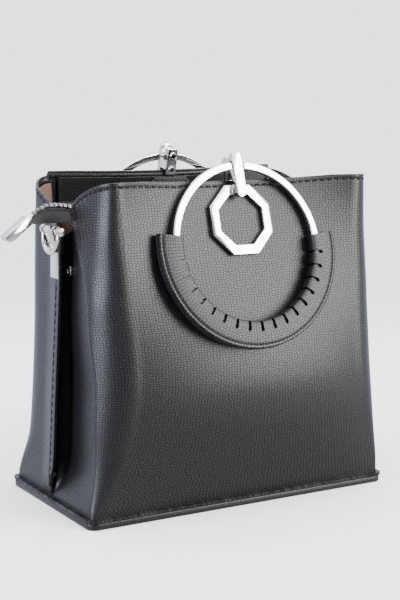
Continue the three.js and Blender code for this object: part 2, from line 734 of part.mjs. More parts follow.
function ringGeometry() {
  const half = RING.thickness / 2;
  const soft = RING.chamfer;
  const section = [
    new THREE.Vector2(RING.inner + soft, -half),
    new THREE.Vector2(RING.outer - soft, -half),
    new THREE.Vector2(RING.outer, soft - half),
    new THREE.Vector2(RING.outer, half - soft),
    new THREE.Vector2(RING.outer - soft, half),
    new THREE.Vector2(RING.inner + soft, half),
    new THREE.Vector2(RING.inner, half - soft),
    new THREE.Vector2(RING.inner, soft - half),
  ];
  const opening = Math.asin(RING.halfGap / -RING_CENTRE);
  const start = Math.PI / 2 + opening;
  const turn = 2 * (Math.PI - opening);
  const bar = sweptSolid(section, null, RING.steps, (corner, share) => (
    onRing(corner.x, start + share * turn, corner.y)));
  return join(bar, rodAlongX(PIVOT.pinRadius, 2 * RING.halfGap + 2));
}

function gripGeometry() {
  const upper = GRIP_SECTION.map((corner) => new THREE.Vector2(corner.r, corner.half));
  const lower = GRIP_SECTION.map((corner) => new THREE.Vector2(corner.r, -corner.half));
  const section = [...lower, ...upper.reverse()];
  const room = RING.thickness / 2 + GAP;
  const tunnel = [
    new THREE.Vector2(RING.inner - GAP, -room),
    new THREE.Vector2(RING.outer + GAP, -room),
    new THREE.Vector2(RING.outer + GAP, room),
    new THREE.Vector2(RING.inner - GAP, room),
  ];
  const start = Math.PI - radians(GRIP_ENDS.left);
  const turn = Math.PI + radians(GRIP_ENDS.left + GRIP_ENDS.right);
  const sleeve = sweptSolid(section, tunnel, GRIP_STEPS, (corner, share) => (
    onRing(corner.x, start + share * turn, corner.y)));
  return cut(sleeve, ...slitTools());
}

// Drop-shaped slits cut across the grip's inner fold, which show the bar inside
function slitTools() {
  const outline = [
    new THREE.Vector2(SLIT.inner, -SLIT.innerHalf),
    new THREE.Vector2(SLIT.shoulder, -SLIT.outerHalf),
    new THREE.Vector2(SLIT.tip, 0),
    new THREE.Vector2(SLIT.shoulder, SLIT.outerHalf),
    new THREE.Vector2(SLIT.inner, SLIT.innerHalf),
  ];
  const sweep = 180 - 2 * SLIT.first;
  return Array.from({ length: SLIT.count }, (_, index) => {
    const angle = radians(-SLIT.first - index * sweep / (SLIT.count - 1));
    return slab(outline, 4 * RING.thickness).rotateZ(angle).translate(0, RING_CENTRE, 0);
  });
}

// One handle with its fittings, built at the front and turned round for the back
function makeHandle(side) {
  const leaning = new THREE.Group();
  const { y, z, lean } = PANEL_TOPS[side];
  leaning.position.set(0, y, z);
  leaning.rotation.x = Math.PI / 2 - radians(lean);
  leaning.add(
    piece(`octagon_${side}`, octagonGeometry(), polishedNickel),
    piece(`handle_patch_${side}`, patchGeometry(), leatherBlack),
    piece(`link_${side}`, linkGeometry(), polishedNickel),
  );
  ['upper', 'lower'].forEach((place, index) => {
    const screw = piece(`link_screw_${side}_${place}`, screwGeometry(), polishedNickel);
    screw.position.set(0, LINK_SCREW.ups[index], LINK.back - GAP - LINK_SCREW.height / 2);
    leaning.add(screw);
  });
  const swing = new THREE.Group();
  swing.position.set(0, PIVOT.up, PIVOT.out);
  swing.add(
    piece(`ring_${side}`, ringGeometry(), polishedNickel),
    piece(`grip_${side}`, gripGeometry(), leatherGrip),
  );
  leaning.add(swing);
  const whole = new THREE.Group();
  whole.add(leaning);
  whole.rotation.z = side === 'back' ? Math.PI : 0;
  return whole;
}

// Strap fittings, drawn for the -X side with the other hand mirrored by its sign
function tabGeometry(hand) {
  const lapFace = (z) => bodyAt(z).halfWidth + LAPS.back.rise + GAP;
  const outer = TAB.thickness;
  const profile = [
    new THREE.Vector2(lapFace(TAB.foot), TAB.foot),
    new THREE.Vector2(lapFace(TAB.foot) + outer, TAB.foot),
    new THREE.Vector2(lapFace(TAB.foot) + outer, TAB.bend),
    new THREE.Vector2(SHACKLE_PIN.x + TAB.loopRadius - TAB.tuck, SHACKLE_PIN.z),
    new THREE.Vector2(SHACKLE_PIN.x + TAB.loopRadius - outer - TAB.tuck, SHACKLE_PIN.z),
    new THREE.Vector2(lapFace(TAB.foot), TAB.bend),
  ];
  const strip = slab(profile, TAB.width).rotateX(Math.PI / 2);
  const loop = rodAlongY(TAB.loopRadius, TAB.width, 12).translate(SHACKLE_PIN.x, 0, SHACKLE_PIN.z);
  const bore = rodAlongY(TAB.boreRadius, 2 * TAB.width, 12).translate(SHACKLE_PIN.x, 0, SHACKLE_PIN.z);
  const tab = cut(join(strip, loop), bore).translate(0, TAB.offsetY, 0);
  return hand > 0 ? tab : mirrored(tab);
}

// A mirror image across the YZ plane, with its faces turned out again
function mirrored(geometry) {
  const copy = geometry.clone().scale(-1, 1, 1);
  const order = copy.index.array;
  for (let index = 0; index < order.length; index += 3) {
    [order[index], order[index + 1]] = [order[index + 1], order[index]];
  }
  return copy;
}

function shackleGeometry() {
  const radius = SHACKLE.armSpacing / 2;
  const section = [[-1, -0.6], [-0.6, -1], [0.6, -1], [1, -0.6], [1, 0.6], [0.6, 1], [-0.6, 1], [-1, 0.6]]
    .map(([u, v]) => new THREE.Vector2(u * SHACKLE.barThickness / 2, v * SHACKLE.barWidth / 2));
  const arc = SHACKLE.steps - 2;
  const bow = sweptSolid(section, null, SHACKLE.steps, (corner, share) => {
    const step = Math.round(share * SHACKLE.steps);
    const angle = Math.PI * THREE.MathUtils.clamp((step - 1) / arc, 0, 1);
    const reach = radius + corner.x;
    const isEnd = step === 0 || step === SHACKLE.steps;
    const rise = isEnd ? 0 : -SHACKLE.straight - reach * Math.sin(angle);
    return new THREE.Vector3(corner.y, -reach * Math.cos(angle), rise);
  });
  const eyes = [-radius, radius].map((y) => (
    rodAlongY(SHACKLE.eyeRadius, SHACKLE.barThickness).translate(0, y, 0)));
  return cut(join(bow, ...eyes), rodAlongY(SHACKLE_PIN.radius + GAP, 2 * SHACKLE.armSpacing));
}

// The screw pin: a ball at its front end and a small nut at the back
function shacklePinGeometry() {
  const shoulder = SHACKLE.armSpacing / 2 + SHACKLE.barThickness / 2 + GAP;
  const rod = rodAlongY(SHACKLE_PIN.radius, 2 * shoulder + 2);
  const ball = new THREE.SphereGeometry(SHACKLE_PIN.ballRadius, 10, 6);
  ball.translate(0, -shoulder - 0.9 * SHACKLE_PIN.ballRadius, 0);
  const nut = rodAlongY(SHACKLE_PIN.nutRadius, SHACKLE_PIN.nutLength, 10);
  nut.translate(0, shoulder + SHACKLE_PIN.nutLength / 2, 0);
  return join(rod, ball, nut);
}

// How far across the side of a panel stands at a depth out from mid-side
function wallAcross(depth, z, lap) {
  const crest = wallPlan({ stretch: 'side', at: 1 }, z, 0, lap);
  const at = (depth - VALLEY.depth) / (crest.depth - VALLEY.depth);
  return wallPlan({ stretch: 'side', at }, z, 0, lap).across;
}

// A small round press stud on the front half of each side
function studGeometry() {
  const profile = [
    new THREE.Vector2(0, 0),
    new THREE.Vector2(STUD.radius, 0),
    new THREE.Vector2(STUD.radius, 0.55 * STUD.height),
    new THREE.Vector2(0.8 * STUD.radius, STUD.height),
    new THREE.Vector2(0.5 * STUD.radius, STUD.height),
    new THREE.Vector2(0.4 * STUD.radius, 0.6 * STUD.height),
    new THREE.Vector2(0, 0.6 * STUD.height),
  ];
  return new THREE.LatheGeometry(profile, 10);
}

function makeStrapFittings(side) {
  const hand = side === 'left' ? -1 : 1;
  const tab = piece(`strap_tab_${side}`, tabGeometry(hand), polishedNickel);
  const shackle = piece(`shackle_${side}`, shackleGeometry(), polishedNickel);
  const pin = piece(`shackle_pin_${side}`, shacklePinGeometry(), polishedNickel);
  for (const mesh of [shackle, pin]) {
    mesh.position.set(hand * SHACKLE_PIN.x, SHACKLE_PIN.y, SHACKLE_PIN.z);
    mesh.rotation.y = -hand * radians(SHACKLE.rest);
  }
  const stud = piece(`side_stud_${side}`, mergeVertices(bareLathe(studGeometry())), darkMetal);
  const wall = wallAcross(-STUD.y, STUD.z, LAPS.front);
  stud.rotation.z = -hand * Math.PI / 2;
  stud.position.set(hand * (wall + STUD.clear), STUD.y, STUD.z);
  return [tab, shackle, pin, stud];
}

function bareLathe(geometry) {
  geometry.deleteAttribute('normal');
  geometry.deleteAttribute('uv');
  return geometry;
}

const handbag = new THREE.Group();
handbag.add(makeBody(), ...makeLining(), ...makeFacings(), ...makeZip());
handbag.add(makeHandle('front'), makeHandle('back'));
handbag.add(...makeStrapFittings('left'), ...makeStrapFittings('right'));

export default handbag;
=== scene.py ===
import math

import bmesh
import bpy
from mathutils import Matrix, Vector


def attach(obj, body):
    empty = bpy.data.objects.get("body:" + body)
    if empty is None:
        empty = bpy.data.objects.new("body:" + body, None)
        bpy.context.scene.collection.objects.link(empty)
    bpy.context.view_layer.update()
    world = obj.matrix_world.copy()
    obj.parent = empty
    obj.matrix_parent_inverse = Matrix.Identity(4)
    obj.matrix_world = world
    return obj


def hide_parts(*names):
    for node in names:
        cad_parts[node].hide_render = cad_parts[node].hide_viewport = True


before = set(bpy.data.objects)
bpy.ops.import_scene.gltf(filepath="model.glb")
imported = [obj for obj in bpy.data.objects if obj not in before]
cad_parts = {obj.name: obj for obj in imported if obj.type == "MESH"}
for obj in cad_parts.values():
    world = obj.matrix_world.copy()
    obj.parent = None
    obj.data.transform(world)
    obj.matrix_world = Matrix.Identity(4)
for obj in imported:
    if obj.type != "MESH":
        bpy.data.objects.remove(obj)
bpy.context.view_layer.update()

# Leather walls
# Two shaped panels of black embossed leather make the front, the back and half of each side. The back
# panel laps over the front one at mid-side, and both turn out at the foot as a welt sewn to the base.
MM = 0.001
PANEL_HEIGHT = 220.0
PANEL_SHEET = {"thickness": 1.8, "edge": 0.45}
WELT_TOP = 6.7
WELT_REACH = 3.2
MID_EDGE_REACH = 75.0
SIDE_EDGES = {
    "front": {"dip": 23.2, "reach": 56.0, "power": 1.6, "notch": 11.5},
    "back": {"dip": 25.0, "reach": 58.6, "power": 0.7, "notch": 8.5},
}
NOTCH = {"start": 8.5, "full": 4.0}
LAP_BLEND = 25.0
LAP_RISE_Z = (6.0, 17.0)
LAP_REACH_Z = (16.0, 30.0)
TUCK_Z = (8.0, 32.0)
VALLEY = {"foot": 3.0, "depth": -1.0}
LAPS = {
    "front": {
        "reach": 11.0, "rise": -1.6, "tuck": 7.0, "mid": "mid_depth", "mid_dip": 2.5, "turn": 1,
        "corners": ("left_radius", "front_radius"), "edge": SIDE_EDGES["front"],
    },
    "back": {
        "reach": 5.0, "rise": 3.2, "tuck": 0.0, "mid": "back_mid", "mid_dip": 1.0, "turn": -1,
        "corners": ("back_radius", "back_radius"), "edge": SIDE_EDGES["back"],
    },
}
SHARPEST_BEND = 0.6
SHOULDER_FLAT = 10.0
SQUARE_CORNER = 0.62
SQUARE_SHOULDER = 24.0
BUTT_GAP = 0.2
EDGE_SEAM_BELOW = 3.2
LAP_SEAM_DEPTH = 0.4
SECTION_COLUMNS = (
    "z", "half_width", "mid_depth", "back_mid", "corner_depth",
    "front_radius", "left_radius", "back_radius", "crest",
)
BODY_SECTIONS = [dict(zip(SECTION_COLUMNS, row)) for row in (
    (5.5, 114.0, 58.5, 58.5, 58.5, 3.0, 3.0, 3.0, 55.5),
    (12.0, 113.9, 59.7, 59.7, 58.8, 3.5, 6.0, 5.0, 55.4),
    (22.0, 113.5, 61.9, 61.9, 59.2, 5.0, 13.0, 12.0, 54.6),
    (40.0, 112.4, 66.2, 66.2, 59.6, 9.0, 21.0, 27.0, 52.8),
    (65.0, 111.4, 70.9, 70.9, 60.0, 16.0, 26.0, 35.0, 51.2),
    (90.0, 110.2, 72.4, 72.4, 60.0, 21.0, 28.0, 37.0, 50.0),
    (120.0, 108.8, 68.6, 68.6, 59.8, 21.6, 25.5, 33.0, 44.0),
    (150.0, 107.5, 60.5, 62.2, 59.3, 19.0, 20.0, 25.6, 37.0),
    (180.0, 106.2, 51.6, 55.6, 58.9, 17.5, 17.5, 20.0, 21.3),
    (205.0, 104.9, 44.2, 50.1, 58.6, 14.5, 14.5, 16.5, 7.4),
    (220.0, 104.0, 39.8, 46.8, 58.6, 12.5, 12.5, 14.0, 7.4),
)]


def smoothstep(value, low, high):
    """A share from 0 to 1 that eases in at low and out at high."""
    share = min(1.0, max(0.0, (value - low) / (high - low)))
    return share * share * (3.0 - 2.0 * share)


def lerp(a, b, share):
    """The value a share of the way from one to another."""
    return a + (b - a) * share


def body_at(z):
    """The body's section at a height, on a smooth curve through the table."""
    table = BODY_SECTIONS
    level = min(table[-1]["z"], max(table[0]["z"], z))
    upper = max(1, next(i for i, row in enumerate(table) if row["z"] >= level))
    lower = upper - 1
    span = table[upper]["z"] - table[lower]["z"]
    t = (level - table[lower]["z"]) / span
    section = {}
    for key in SECTION_COLUMNS[1:]:
        slopes = []
        for at in (lower, upper):
            before = table[max(0, at - 1)]
            after = table[min(len(table) - 1, at + 1)]
            slopes.append((after[key] - before[key]) / (after["z"] - before["z"]) * span)
        rise = table[upper][key] - table[lower][key]
        curve = 3.0 * t * t - 2.0 * t ** 3
        bend = t * (1.0 - t) * ((1.0 - t) * slopes[0] - t * slopes[1])
        section[key] = table[lower][key] + rise * curve + bend
    return section


def face_depth(section, across, lap):
    """How far the front or back face stands out from mid-side, at a place across."""
    share = min(1.0, across / section["half_width"])
    return lerp(section[lap["mid"]], section["corner_depth"], share * share)


def lap_offset(lap, depth, z):
    """How far the lap stands in or out near the mid-side seam, at a depth out from the seam."""
    near = 1.0 - (depth + lap["reach"]) / LAP_BLEND
    return lap["rise"] * smoothstep(near, 0.0, 1.0) * smoothstep(z, *LAP_RISE_Z)


def wall_plan(column, z, inset, lap, hand=1):
    """A wall point's distance across from the middle and out from mid-side, in millimetres."""
    stretch, at = column
    section = body_at(z)
    bend = section[lap["corners"][0 if hand < 0 else 1]]
    half_face = section["half_width"] - bend
    if stretch == "face":
        across = half_face * at
        return across, face_depth(section, across, lap) - inset
    turn = face_depth(section, half_face, lap) - bend
    radius = max(SHARPEST_BEND, bend - inset)
    crest = section["crest"] if lap["tuck"] else turn
    shoulder = max(0.0, turn - crest)
    flat = min(shoulder, SHOULDER_FLAT)
    first_angle = math.asin(max(0.0, crest - turn) / bend)
    on_corner = at if stretch == "corner" else 0.0
    run = on_corner * (flat + bend * (math.pi / 2.0 - first_angle))
    if hand < 0 and shoulder > 0.0:
        power = lerp(1.0, SQUARE_CORNER, smoothstep(shoulder, 0.0, SQUARE_SHOULDER))
        across = half_face + radius * max(0.0, math.cos(on_corner * math.pi / 2.0)) ** power
        depth = crest + (turn + radius - crest) * math.sin(on_corner * math.pi / 2.0) ** power
    elif run < flat:
        across = half_face + radius
        depth = crest + shoulder * run / flat
    else:
        angle = first_angle + (run - flat) / bend
        across = half_face + radius * math.cos(angle)
        depth = turn + radius * math.sin(angle)
    if stretch != "corner":
        lapped = smoothstep(z, *LAP_REACH_Z)
        free_edge = lerp(BUTT_GAP, -lap["reach"], lapped)
        valley = lerp(VALLEY["foot"], VALLEY["depth"], lapped)
        on_lap = stretch == "lap"
        depth = lerp(free_edge, valley, at) if on_lap else lerp(valley, depth, at)
        tucked = smoothstep(at, 0.0, 1.0) if on_lap else 1.0 - at
        across -= lap["tuck"] * smoothstep(z, *TUCK_Z) * tucked
    return across + lap_offset(lap, depth, z), depth


def top_edge(lap, across, depth=None):
    """Height of the top edge over a point of the plan, with the depth left out along the face."""
    level = PANEL_HEIGHT - lap["mid_dip"] * max(0.0, 1.0 - (across / MID_EDGE_REACH) ** 2)
    if depth is not None:
        edge = lap["edge"]
        level -= edge["dip"] * max(0.0, 1.0 - depth / edge["reach"]) ** edge["power"]
        level -= edge["notch"] * smoothstep(NOTCH["start"] - depth, 0.0, NOTCH["start"] - NOTCH["full"])
    return level


def column_top(column, hand, lap):
    """Height of the top edge at a column of the wall."""
    across, depth = wall_plan(column, PANEL_HEIGHT, 0.0, lap, hand)
    return top_edge(lap, across, None if column[0] == "face" else depth)


def wall_point(column, hand, z, inset, lap):
    """A point of a panel's wall in metres, turned to its own side of the bag."""
    across, depth = wall_plan(column, z, inset, lap, hand)
    return Vector((hand * across * lap["turn"], -depth * lap["turn"], z)) * MM


def side_point(depth, hand, z, lap):
    """A point on the side of a panel, found by its depth out from mid-side."""
    crest = wall_plan(("side", 1.0), z, 0.0, lap, hand)[1]
    valley = wall_plan(("side", 0.0), z, 0.0, lap, hand)[1]
    return wall_point(("side", (depth - valley) / (crest - valley)), hand, z, 0.0, lap)


LAP_STEPS = 8
SIDE_STEPS = 22
SIDE_CROWD = 1.35
CORNER_STEPS = 14
FACE_STEPS = 26
WALL_ROWS = 76
ROW_CROWD = 0.55
EDGE_BAND = 6.0
EDGE_ROWS = (5.0, 4.2, 3.7, 3.2, 2.7, 2.2, 1.2, 0.0)
SEAM_GROOVE = {"deep": 0.45, "half": 1.3}


def wall_columns():
    """Columns of the wall from the left free edge to the right one, as (stretch, place) and hand."""
    half = [("lap", i / LAP_STEPS) for i in range(LAP_STEPS)]
    half += [("side", (i / SIDE_STEPS) ** SIDE_CROWD) for i in range(SIDE_STEPS)]
    half += [("corner", i / CORNER_STEPS) for i in range(CORNER_STEPS)]
    half += [("face", 1.0 - i / FACE_STEPS) for i in range(FACE_STEPS)]
    left = [(column, -1) for column in half]
    right = [(column, 1) for column in reversed(half)]
    return left + [(("face", 0.0), 1)] + right


def row_share(row):
    """Rows lie closer together near the foot and the top edge."""
    t = row / WALL_ROWS
    return t - math.sin(2.0 * math.pi * t) * ROW_CROWD / (2.0 * math.pi)


def lengths(points):
    """How far along a line of points each one lies."""
    run = [0.0]
    for before, after in zip(points, points[1:]):
        run.append(run[-1] + (after - before).length)
    return run


def finished(bm, name, place=None, sharp=None, smooth=True):
    """Turns a bmesh into a piece, moved to its place and with its sharp edges kept."""
    if place is not None:
        bmesh.ops.transform(bm, matrix=place, verts=bm.verts)
    for face in bm.faces:
        face.smooth = smooth
    mesh = bpy.data.meshes.new(name)
    bm.to_mesh(mesh)
    bm.free()
    if sharp:
        mesh.set_sharp_from_angle(angle=math.radians(sharp))
    piece = bpy.data.objects.new(name, mesh)
    bpy.context.scene.collection.objects.link(piece)
    return piece


def sheet_piece(name, across, up, place, flow):
    """A grid of leather or cloth whose corners are placed one by one, with a UV map in metres."""
    bm = bmesh.new()
    bmesh.ops.create_grid(bm, x_segments=across, y_segments=up, size=1.0)
    spot = {}
    for vert in bm.verts:
        spot[vert] = (round((vert.co.x + 1.0) / 2.0 * across), round((vert.co.y + 1.0) / 2.0 * up))
    uv = bm.loops.layers.uv.new("flow")
    for face in bm.faces:
        for loop in face.loops:
            loop[uv].uv = flow(*spot[loop.vert])
    for vert in bm.verts:
        vert.co = place(*spot[vert])
    return finished(bm, name)


def thicken(piece, sheet):
    """Gives a sheet its thickness behind its face, and softens its cut edges."""
    wall = piece.modifiers.new("thickness", "SOLIDIFY")
    wall.thickness = sheet["thickness"] * MM
    wall.offset = -1.0
    wall.use_even_offset = True
    soft = piece.modifiers.new("edge", "BEVEL")
    soft.width = sheet["edge"] * MM
    soft.segments = 2
    soft.limit_method = "ANGLE"
    soft.angle_limit = math.radians(50.0)
    soft.harden_normals = True


def settle(piece, body, slot, material, *nodes):
    """Hangs a finished piece on its body, gives it its material and hides the solids it stands for; its slot
    is not used.
    """
    piece.data.materials.append(material)
    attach(piece, body)
    if nodes:
        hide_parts(*nodes)
    return piece


def panel_piece(name, lap):
    """One wall of the bag, drawn in a little along its seams."""
    columns = wall_columns()
    tops = [column_top(column, hand, lap) for column, hand in columns]
    run = lengths([wall_point(column, hand, PANEL_HEIGHT / 2.0, 0.0, lap) for column, hand in columns])

    def height(i, j):
        if j > WALL_ROWS + 1:
            return tops[i] - EDGE_ROWS[j - WALL_ROWS - 2]
        return lerp(WELT_TOP, tops[i] - EDGE_BAND, row_share(max(0, j - 1)))

    def groove(i, j):
        """How deep a seam pulls the leather in at a place of the wall."""
        near = abs(tops[i] - height(i, j) - EDGE_SEAM_BELOW)
        if lap["rise"] > 0.0 and columns[i][0][0] in ("lap", "side"):
            depth = wall_plan(columns[i][0], height(i, j), 0.0, lap)[1]
            near = min(near, abs(depth - LAP_SEAM_DEPTH))
        return SEAM_GROOVE["deep"] * smoothstep(1.0 - near / SEAM_GROOVE["half"], 0.0, 1.0)

    def place(i, j):
        column, hand = columns[i]
        inset = -WELT_REACH if j == 0 else groove(i, j)
        return wall_point(column, hand, height(i, j), inset, lap)

    def flow(i, j):
        return run[i], height(i, j) * MM

    panel = sheet_piece(name, len(columns) - 1, WALL_ROWS + 1 + len(EDGE_ROWS), place, flow)
    thicken(panel, PANEL_SHEET)
    return panel


def node_group(name, inputs, outputs):
    """An empty shader node group with named sockets."""
    group = bpy.data.node_groups.new(name, "ShaderNodeTree")
    for direction, labels in (("INPUT", inputs), ("OUTPUT", outputs)):
        for label in labels:
            kind = "NodeSocketVector" if label == "Vector" else "NodeSocketFloat"
            group.interface.new_socket(name=label, in_out=direction, socket_type=kind)
    inside = group.nodes.new("NodeGroupInput").outputs
    return group, inside, group.nodes.new("NodeGroupOutput").inputs


def preset(node, values):
    """Sets a node's inputs to plain values, by their names."""
    for label, value in values.items():
        node.inputs[label].default_value = value


def operation_node(tree, kind, operation, values):
    """A node that works on sockets or plain values, in the order of its inputs."""
    node = tree.nodes.new(kind)
    node.operation = operation
    for socket, value in zip(node.inputs, values):
        if isinstance(value, bpy.types.NodeSocket):
            tree.links.new(value, socket)
        else:
            socket.default_value = value
    return node.outputs


def math_node(tree, operation, *values):
    """Arithmetic on numbers."""
    return operation_node(tree, "ShaderNodeMath", operation, values)["Value"]


def vector_node(tree, operation, *values):
    """Arithmetic on vectors, with both the vector and the number it can give."""
    return operation_node(tree, "ShaderNodeVectorMath", operation, values)


def noise(tree, vector, scale, detail=2.0):
    """A noise texture over a vector."""
    node = tree.nodes.new("ShaderNodeTexNoise")
    preset(node, {"Scale": scale, "Detail": detail})
    tree.links.new(vector, node.inputs["Vector"])
    return node.outputs


def smooth_share(tree, value, low, high):
    """A share that goes smoothly from 0 to 1 as a value goes from low to high."""
    node = tree.nodes.new("ShaderNodeMapRange")
    node.interpolation_type = "SMOOTHSTEP"
    preset(node, {"From Min": low, "From Max": high})
    tree.links.new(value, node.inputs["Value"])
    return node.outputs["Result"]


PEBBLES = 560.0
PEBBLE_SHAPE = {"stretch": (0.82, 1.12, 1.0), "uneven": 0.62, "groove": (0.0, 0.26)}
GRAIN_SWAY = {"scale": 90.0, "reach": (0.0022, 0.0022, 0.0)}
FINE_GRAIN = {"scale": 2400.0, "detail": 1.0, "share": 0.25}
PATCHES = {"scale": 22.0, "detail": 3.0}


def grain_group():
    """Embossed leather grain: small squarish pebbles parted by grooves, a little uneven."""
    group, inside, outside = node_group(
        "embossed grain", ("Vector", "Pebbles per metre"), ("Height", "Groove", "Patch"))
    links = group.links
    place = inside["Vector"]
    sway = noise(group, place, GRAIN_SWAY["scale"])["Color"]
    shift = vector_node(group, "MULTIPLY_ADD", sway, GRAIN_SWAY["reach"], place)["Vector"]
    stretch = vector_node(group, "MULTIPLY", shift, PEBBLE_SHAPE["stretch"])["Vector"]
    cells = group.nodes.new("ShaderNodeTexVoronoi")
    cells.voronoi_dimensions = "2D"
    cells.feature = "DISTANCE_TO_EDGE"
    preset(cells, {"Randomness": PEBBLE_SHAPE["uneven"]})
    links.new(stretch, cells.inputs["Vector"])
    links.new(inside["Pebbles per metre"], cells.inputs["Scale"])
    pebble = smooth_share(group, cells.outputs["Distance"], *PEBBLE_SHAPE["groove"])
    fine = noise(group, place, FINE_GRAIN["scale"], FINE_GRAIN["detail"])["Fac"]
    rough = math_node(group, "MULTIPLY", fine, FINE_GRAIN["share"])
    links.new(math_node(group, "ADD", pebble, rough), outside["Height"])
    links.new(math_node(group, "SUBTRACT", 1.0, pebble), outside["Groove"])
    links.new(noise(group, place, PATCHES["scale"], PATCHES["detail"])["Fac"], outside["Patch"])
    return group


GRAIN = grain_group()


def mix_colour(tree, share, first, second):
    """A colour between two, by a socket's share."""
    mix = tree.nodes.new("ShaderNodeMix")
    mix.data_type = "RGBA"
    preset(mix, {"A": (*first, 1.0), "B": (*second, 1.0)})
    tree.links.new(share, mix.inputs["Factor"])
    return mix.outputs["Result"]


def ranged(tree, value, low, high):
    """A share from 0 to 1 turned into a range."""
    node = tree.nodes.new("ShaderNodeMapRange")
    preset(node, {"To Min": low, "To Max": high})
    tree.links.new(value, node.inputs["Value"])
    return node.outputs["Result"]


def new_material(name):
    """A material with its node tree and its main shader."""
    material = bpy.data.materials.new(name)
    material.use_nodes = True
    return material, material.node_tree, material.node_tree.nodes["Principled BSDF"]


def flow_group(tree, group, count):
    """A node group laid on the piece's own UV map, with its count per metre."""
    flow = tree.nodes.new("ShaderNodeUVMap")
    flow.uv_map = "flow"
    laid = tree.nodes.new("ShaderNodeGroup")
    laid.node_tree = group
    laid.inputs[1].default_value = count
    tree.links.new(flow.outputs["UV"], laid.inputs["Vector"])
    return laid.outputs


def colour_and_shine(tree, shader, colour_share, colours, shine_share, roughness):
    """Varies the colour between two and the roughness over a range, each by its own share."""
    tree.links.new(mix_colour(tree, colour_share, *colours), shader.inputs["Base Color"])
    tree.links.new(ranged(tree, shine_share, *roughness), shader.inputs["Roughness"])


def bump(tree, shader, height, size):
    """Raises the surface by a height, with the strength and depth of the finish."""
    node = tree.nodes.new("ShaderNodeBump")
    preset(node, {"Strength": size["strength"], "Distance": size["depth"] * MM})
    tree.links.new(height, node.inputs["Height"])
    tree.links.new(node.outputs["Normal"], shader.inputs["Normal"])


LEATHER_GLOSS = {"Specular IOR Level": 0.06, "Coat Roughness": 0.4}
LEATHER_COAT = (0.75, 0.2)
LEATHER_BUMP = {"strength": 0.9, "depth": 0.1}
GROOVE_BLACK = (0.002, 0.002, 0.0022)
BAG_BLACK = (0.0055, 0.0055, 0.0065)
BAG_ROUGHNESS = (0.34, 0.44)


def leather_material(name, black, roughness):
    """Black leather whose grain follows the piece's own UV map, with its finish worn thin in the grooves."""
    material, tree, shader = new_material(name)
    preset(shader, LEATHER_GLOSS)
    grain = flow_group(tree, GRAIN, PEBBLES)
    colour_and_shine(tree, shader, grain["Groove"], (black, GROOVE_BLACK), grain["Patch"], roughness)
    tree.links.new(ranged(tree, grain["Groove"], *LEATHER_COAT), shader.inputs["Coat Weight"])
    bump(tree, shader, grain["Height"], LEATHER_BUMP)
    return material


bag_leather = leather_material("bag leather", BAG_BLACK, BAG_ROUGHNESS)
for side, lap in LAPS.items():
    settle(panel_piece("panel_" + side, lap), "bag", "bag_leather", bag_leather, side + "_panel")

# Wall stitching
# A row of waxed black thread holds the turned top edge of each panel, and another closes the lap of the
# back panel over the front one. Each stitch lies in a shallow groove and dips at both ends.
STITCH = {"pitch": 5.5, "length": 4.0, "width": 0.9, "lift": 0.1}
STITCH_FLATNESS = 2.4
LAP_SEAM_TOP = 150.0
LAP_SEAM_FOOT = 8.0
LAP_SEAM_STEPS = 40
THREAD_TWIST = 1800.0
THREAD_COLOURS = ((0.002, 0.002, 0.0025), (0.008, 0.008, 0.009))
THREAD_ROUGHNESS = (0.5, 0.7)
THREAD_GLOSS = 0.2


def resampled(points, pitch):
    """Places a pitch apart along a line of points, each with its direction and point number."""
    spots = []
    travelled = 0.0
    due = pitch / 2.0
    for number, (start, end) in enumerate(zip(points, points[1:])):
        step = end - start
        while due <= travelled + step.length:
            share = (due - travelled) / step.length
            spots.append((start + step * share, step.normalized(), number))
            due += pitch
        travelled += step.length
    return spots


def sew(bm, points, outward, size):
    """Lays stitches along a line, standing out along the direction kept for each point."""
    for place, along, number in resampled(points, size["pitch"] * MM):
        out = outward[number].normalized()
        across = out.cross(along).normalized()
        turn = Matrix((along, across, along.cross(across))).transposed().to_4x4()
        spot = Matrix.Translation(place + out * size["lift"] * MM)
        half = Matrix.Diagonal(
            (size["length"] / 2.0, size["width"] / 2.0, size["width"] / STITCH_FLATNESS, 1.0))
        laid = spot @ turn @ half @ Matrix.Rotation(math.pi / 2.0, 4, "Y")
        bmesh.ops.create_uvsphere(bm, u_segments=6, v_segments=4, radius=MM, matrix=laid)


thread, thread_tree, thread_shader = new_material("waxed thread")
thread_place = thread_tree.nodes.new("ShaderNodeTexCoord").outputs["Object"]
twist = noise(thread_tree, thread_place, THREAD_TWIST)["Fac"]
colour_and_shine(thread_tree, thread_shader, twist, THREAD_COLOURS, twist, THREAD_ROUGHNESS)
preset(thread_shader, {"Specular IOR Level": THREAD_GLOSS})

for side, lap in LAPS.items():
    bm = bmesh.new()
    edge = []
    edge_out = []
    for column, hand in wall_columns():
        level = column_top(column, hand, lap) - EDGE_SEAM_BELOW
        edge.append(wall_point(column, hand, level, 0.0, lap))
        edge_out.append(edge[-1] - wall_point(column, hand, level, 1.0, lap))
    sew(bm, edge, edge_out, STITCH)
    if side == "back":
        for hand in (-1, 1):
            steps = range(LAP_SEAM_STEPS + 1)
            levels = [lerp(LAP_SEAM_TOP, LAP_SEAM_FOOT, i / LAP_SEAM_STEPS) for i in steps]
            seam = [side_point(LAP_SEAM_DEPTH, hand, z, lap) for z in levels]
            sew(bm, seam, [Vector((hand * lap["turn"], 0.0, 0.0))] * len(seam), STITCH)
    settle(finished(bm, "stitches_panel_" + side), "bag", "bag_leather", thread)

# Base
# A stiff board wrapped in the same leather carries the welts of both panels. Its edge is turned and
# rounded, and its underside is plain.
BASE = {"width": 233.4, "depth": 122.4, "thickness": 4.6, "corner": 6.5, "edge": 0.9}


